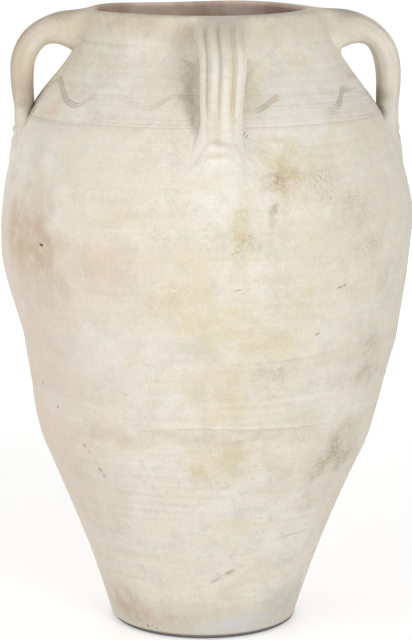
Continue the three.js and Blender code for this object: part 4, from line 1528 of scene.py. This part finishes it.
def seamless_paper():
    """Matt white background paper: light that only the background rays see keeps it white.

    Near the jar there is little of it, so that the soft shadow shows; beyond the lamps there is more.
    """
    made = bpy.data.materials.new("seamless_paper")
    made.use_nodes = True
    tree = made.node_tree
    tree.nodes.remove(tree.nodes["Principled BSDF"])
    white = opaque(bpy.context.scene.jar_colours.floor)
    paper = add_node(tree, "ShaderNodeBsdfDiffuse", {"Color": white}).outputs["BSDF"]
    place = add_node(tree, "ShaderNodeTexCoord").outputs["Object"]
    away = add_node(tree, "ShaderNodeVectorMath", {0: place}, operation="LENGTH").outputs["Value"]
    inputs = {"Value": away, "From Min": GLOW_NEAR, "From Max": GLOW_FAR}
    inputs["To Min"], inputs["To Max"] = GLOW_LEAST, GLOW_MOST
    rising = add_node(tree, "ShaderNodeMapRange", inputs, interpolation_type=EASED).outputs["Result"]
    inputs = {0: rising, 1: background_rays(tree)}
    strength = add_node(tree, "ShaderNodeMath", inputs, operation="MULTIPLY").outputs[0]
    glow = add_node(tree, "ShaderNodeEmission", {"Strength": strength}).outputs["Emission"]
    both = add_node(tree, "ShaderNodeAddShader", {0: paper, 1: glow}).outputs["Shader"]
    tree.links.new(both, tree.nodes["Material Output"].inputs["Surface"])
    return made


MATERIALS = {"bare_clay": bare_clay, "seamless_paper": seamless_paper}

# Camera: distance in plan, height, height it aims at, step to the right, lens and long side of its film
CAMERA_AWAY = 3.360
CAMERA_HEIGHT = 1.054
AIM_HEIGHT = 0.415
CAMERA_SIDESTEP = 0.0027
LENS_MM = 140.5
FILM_MM = 36.0

# Soft lamps: name, degrees to the right of the viewer, distance, height, width, power in watts
LAMPS = [
    ("key", 28, 3.2, 1.20, 1.3, 35.5),
    ("fill", -52, 3.2, 1.05, 2.8, 34.0),
    ("rear_right", 122, 3.4, 1.10, 2.0, 9.0),
    ("rear_left", -122, 3.4, 1.10, 2.0, 11.0),
    ("back", 180, 3.4, 0.90, 2.2, 36.0),
]
LAMP_AIM = Vector((0.0, 0.0, 0.42))
SKY_LIGHT = 0.48
FLOOR_SIZE = 80.0
# The floor lies a little under the foot, so that the two faces do not fight
FLOOR_DROP = 0.0005


class JAR_OT_stage(bpy.types.Operator):
    """White floor, soft lamps and the camera"""

    bl_idname = "jar.stage"
    bl_label = "Stage"

    def execute(self, context):
        scene = context.scene
        half = FLOOR_SIZE / 2
        mesh = bpy.data.meshes.new("floor")
        corners = [(-half, -half, 0.0), (half, -half, 0.0), (half, half, 0.0), (-half, half, 0.0)]
        mesh.from_pydata(corners, [], [(0, 1, 2, 3)])
        mesh.materials.append(material("seamless_paper"))
        floor = bpy.data.objects.new("floor", mesh)
        floor.location.z = -FLOOR_DROP
        scene.collection.objects.link(floor)

        for name, degrees, away, height, width, power in LAMPS:
            turn = VIEW_AZIMUTH + math.radians(degrees)
            lamp = bpy.data.lights.new(name, "AREA")
            lamp.shape, lamp.size, lamp.energy = "SQUARE", width, power
            stand = bpy.data.objects.new(name, lamp)
            stand.location = (away * math.sin(turn), -away * math.cos(turn), height)
            stand.visible_camera = False
            stand.rotation_euler = (LAMP_AIM - stand.location).to_track_quat("-Z", "Y").to_euler()
            scene.collection.objects.link(stand)

        world = bpy.data.worlds.new("studio")
        scene.world = world
        world.use_nodes = True
        tree = world.node_tree
        sky = tree.nodes["Background"]
        inputs = {"Value": background_rays(tree), "To Min": SKY_LIGHT}
        strength = add_node(tree, "ShaderNodeMapRange", inputs, interpolation_type=EASED).outputs["Result"]
        sky.inputs["Color"].default_value = (1.0, 1.0, 1.0, 1.0)
        tree.links.new(strength, sky.inputs["Strength"])

        lens = bpy.data.cameras.new("camera")
        lens.lens, lens.sensor_width = LENS_MM, FILM_MM
        camera = bpy.data.objects.new("camera", lens)
        aim = Vector((0.0, 0.0, AIM_HEIGHT))
        camera.location = VIEW_BACK * CAMERA_AWAY + Vector((0.0, 0.0, CAMERA_HEIGHT))
        camera.rotation_euler = (aim - camera.location).to_track_quat("-Z", "Y").to_euler()
        camera.location += VIEW_RIGHT * CAMERA_SIDESTEP
        scene.collection.objects.link(camera)
        scene.camera = camera
        scene.view_settings.view_transform = "Standard"
        return {"FINISHED"}


STEPS = [JAR_OT_base, JAR_OT_wall, JAR_OT_coils, JAR_OT_collar, JAR_OT_handles, JAR_OT_stage]


class JAR_PT_pieces(bpy.types.Panel):
    """Sizes, colours and pieces of the jar"""

    bl_idname = "JAR_PT_pieces"
    bl_label = "Storage jar"
    bl_space_type = "VIEW_3D"
    bl_region_type = "UI"
    bl_category = "Jar"

    def draw(self, context):
        for group in (context.scene.jar_sizes, context.scene.jar_colours):
            for name in group.__annotations__:
                self.layout.prop(group, name)
        for step in STEPS:
            self.layout.operator(step.bl_idname)


CLASSES = [JarSizes, JarColours, *STEPS, JAR_PT_pieces]


def register():
    for made in CLASSES:
        bpy.utils.register_class(made)
    bpy.types.Scene.jar_sizes = bpy.props.PointerProperty(type=JarSizes)
    bpy.types.Scene.jar_colours = bpy.props.PointerProperty(type=JarColours)


def unregister():
    del bpy.types.Scene.jar_colours
    del bpy.types.Scene.jar_sizes
    for made in reversed(CLASSES):
        bpy.utils.unregister_class(made)


def main():
    register()
    bpy.ops.jar.base()
    bpy.ops.jar.wall()
    bpy.ops.jar.coils()
    bpy.ops.jar.collar()
    bpy.ops.jar.handles()
    bpy.ops.jar.stage()
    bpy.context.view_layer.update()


if __name__ == "__main__":
    main()
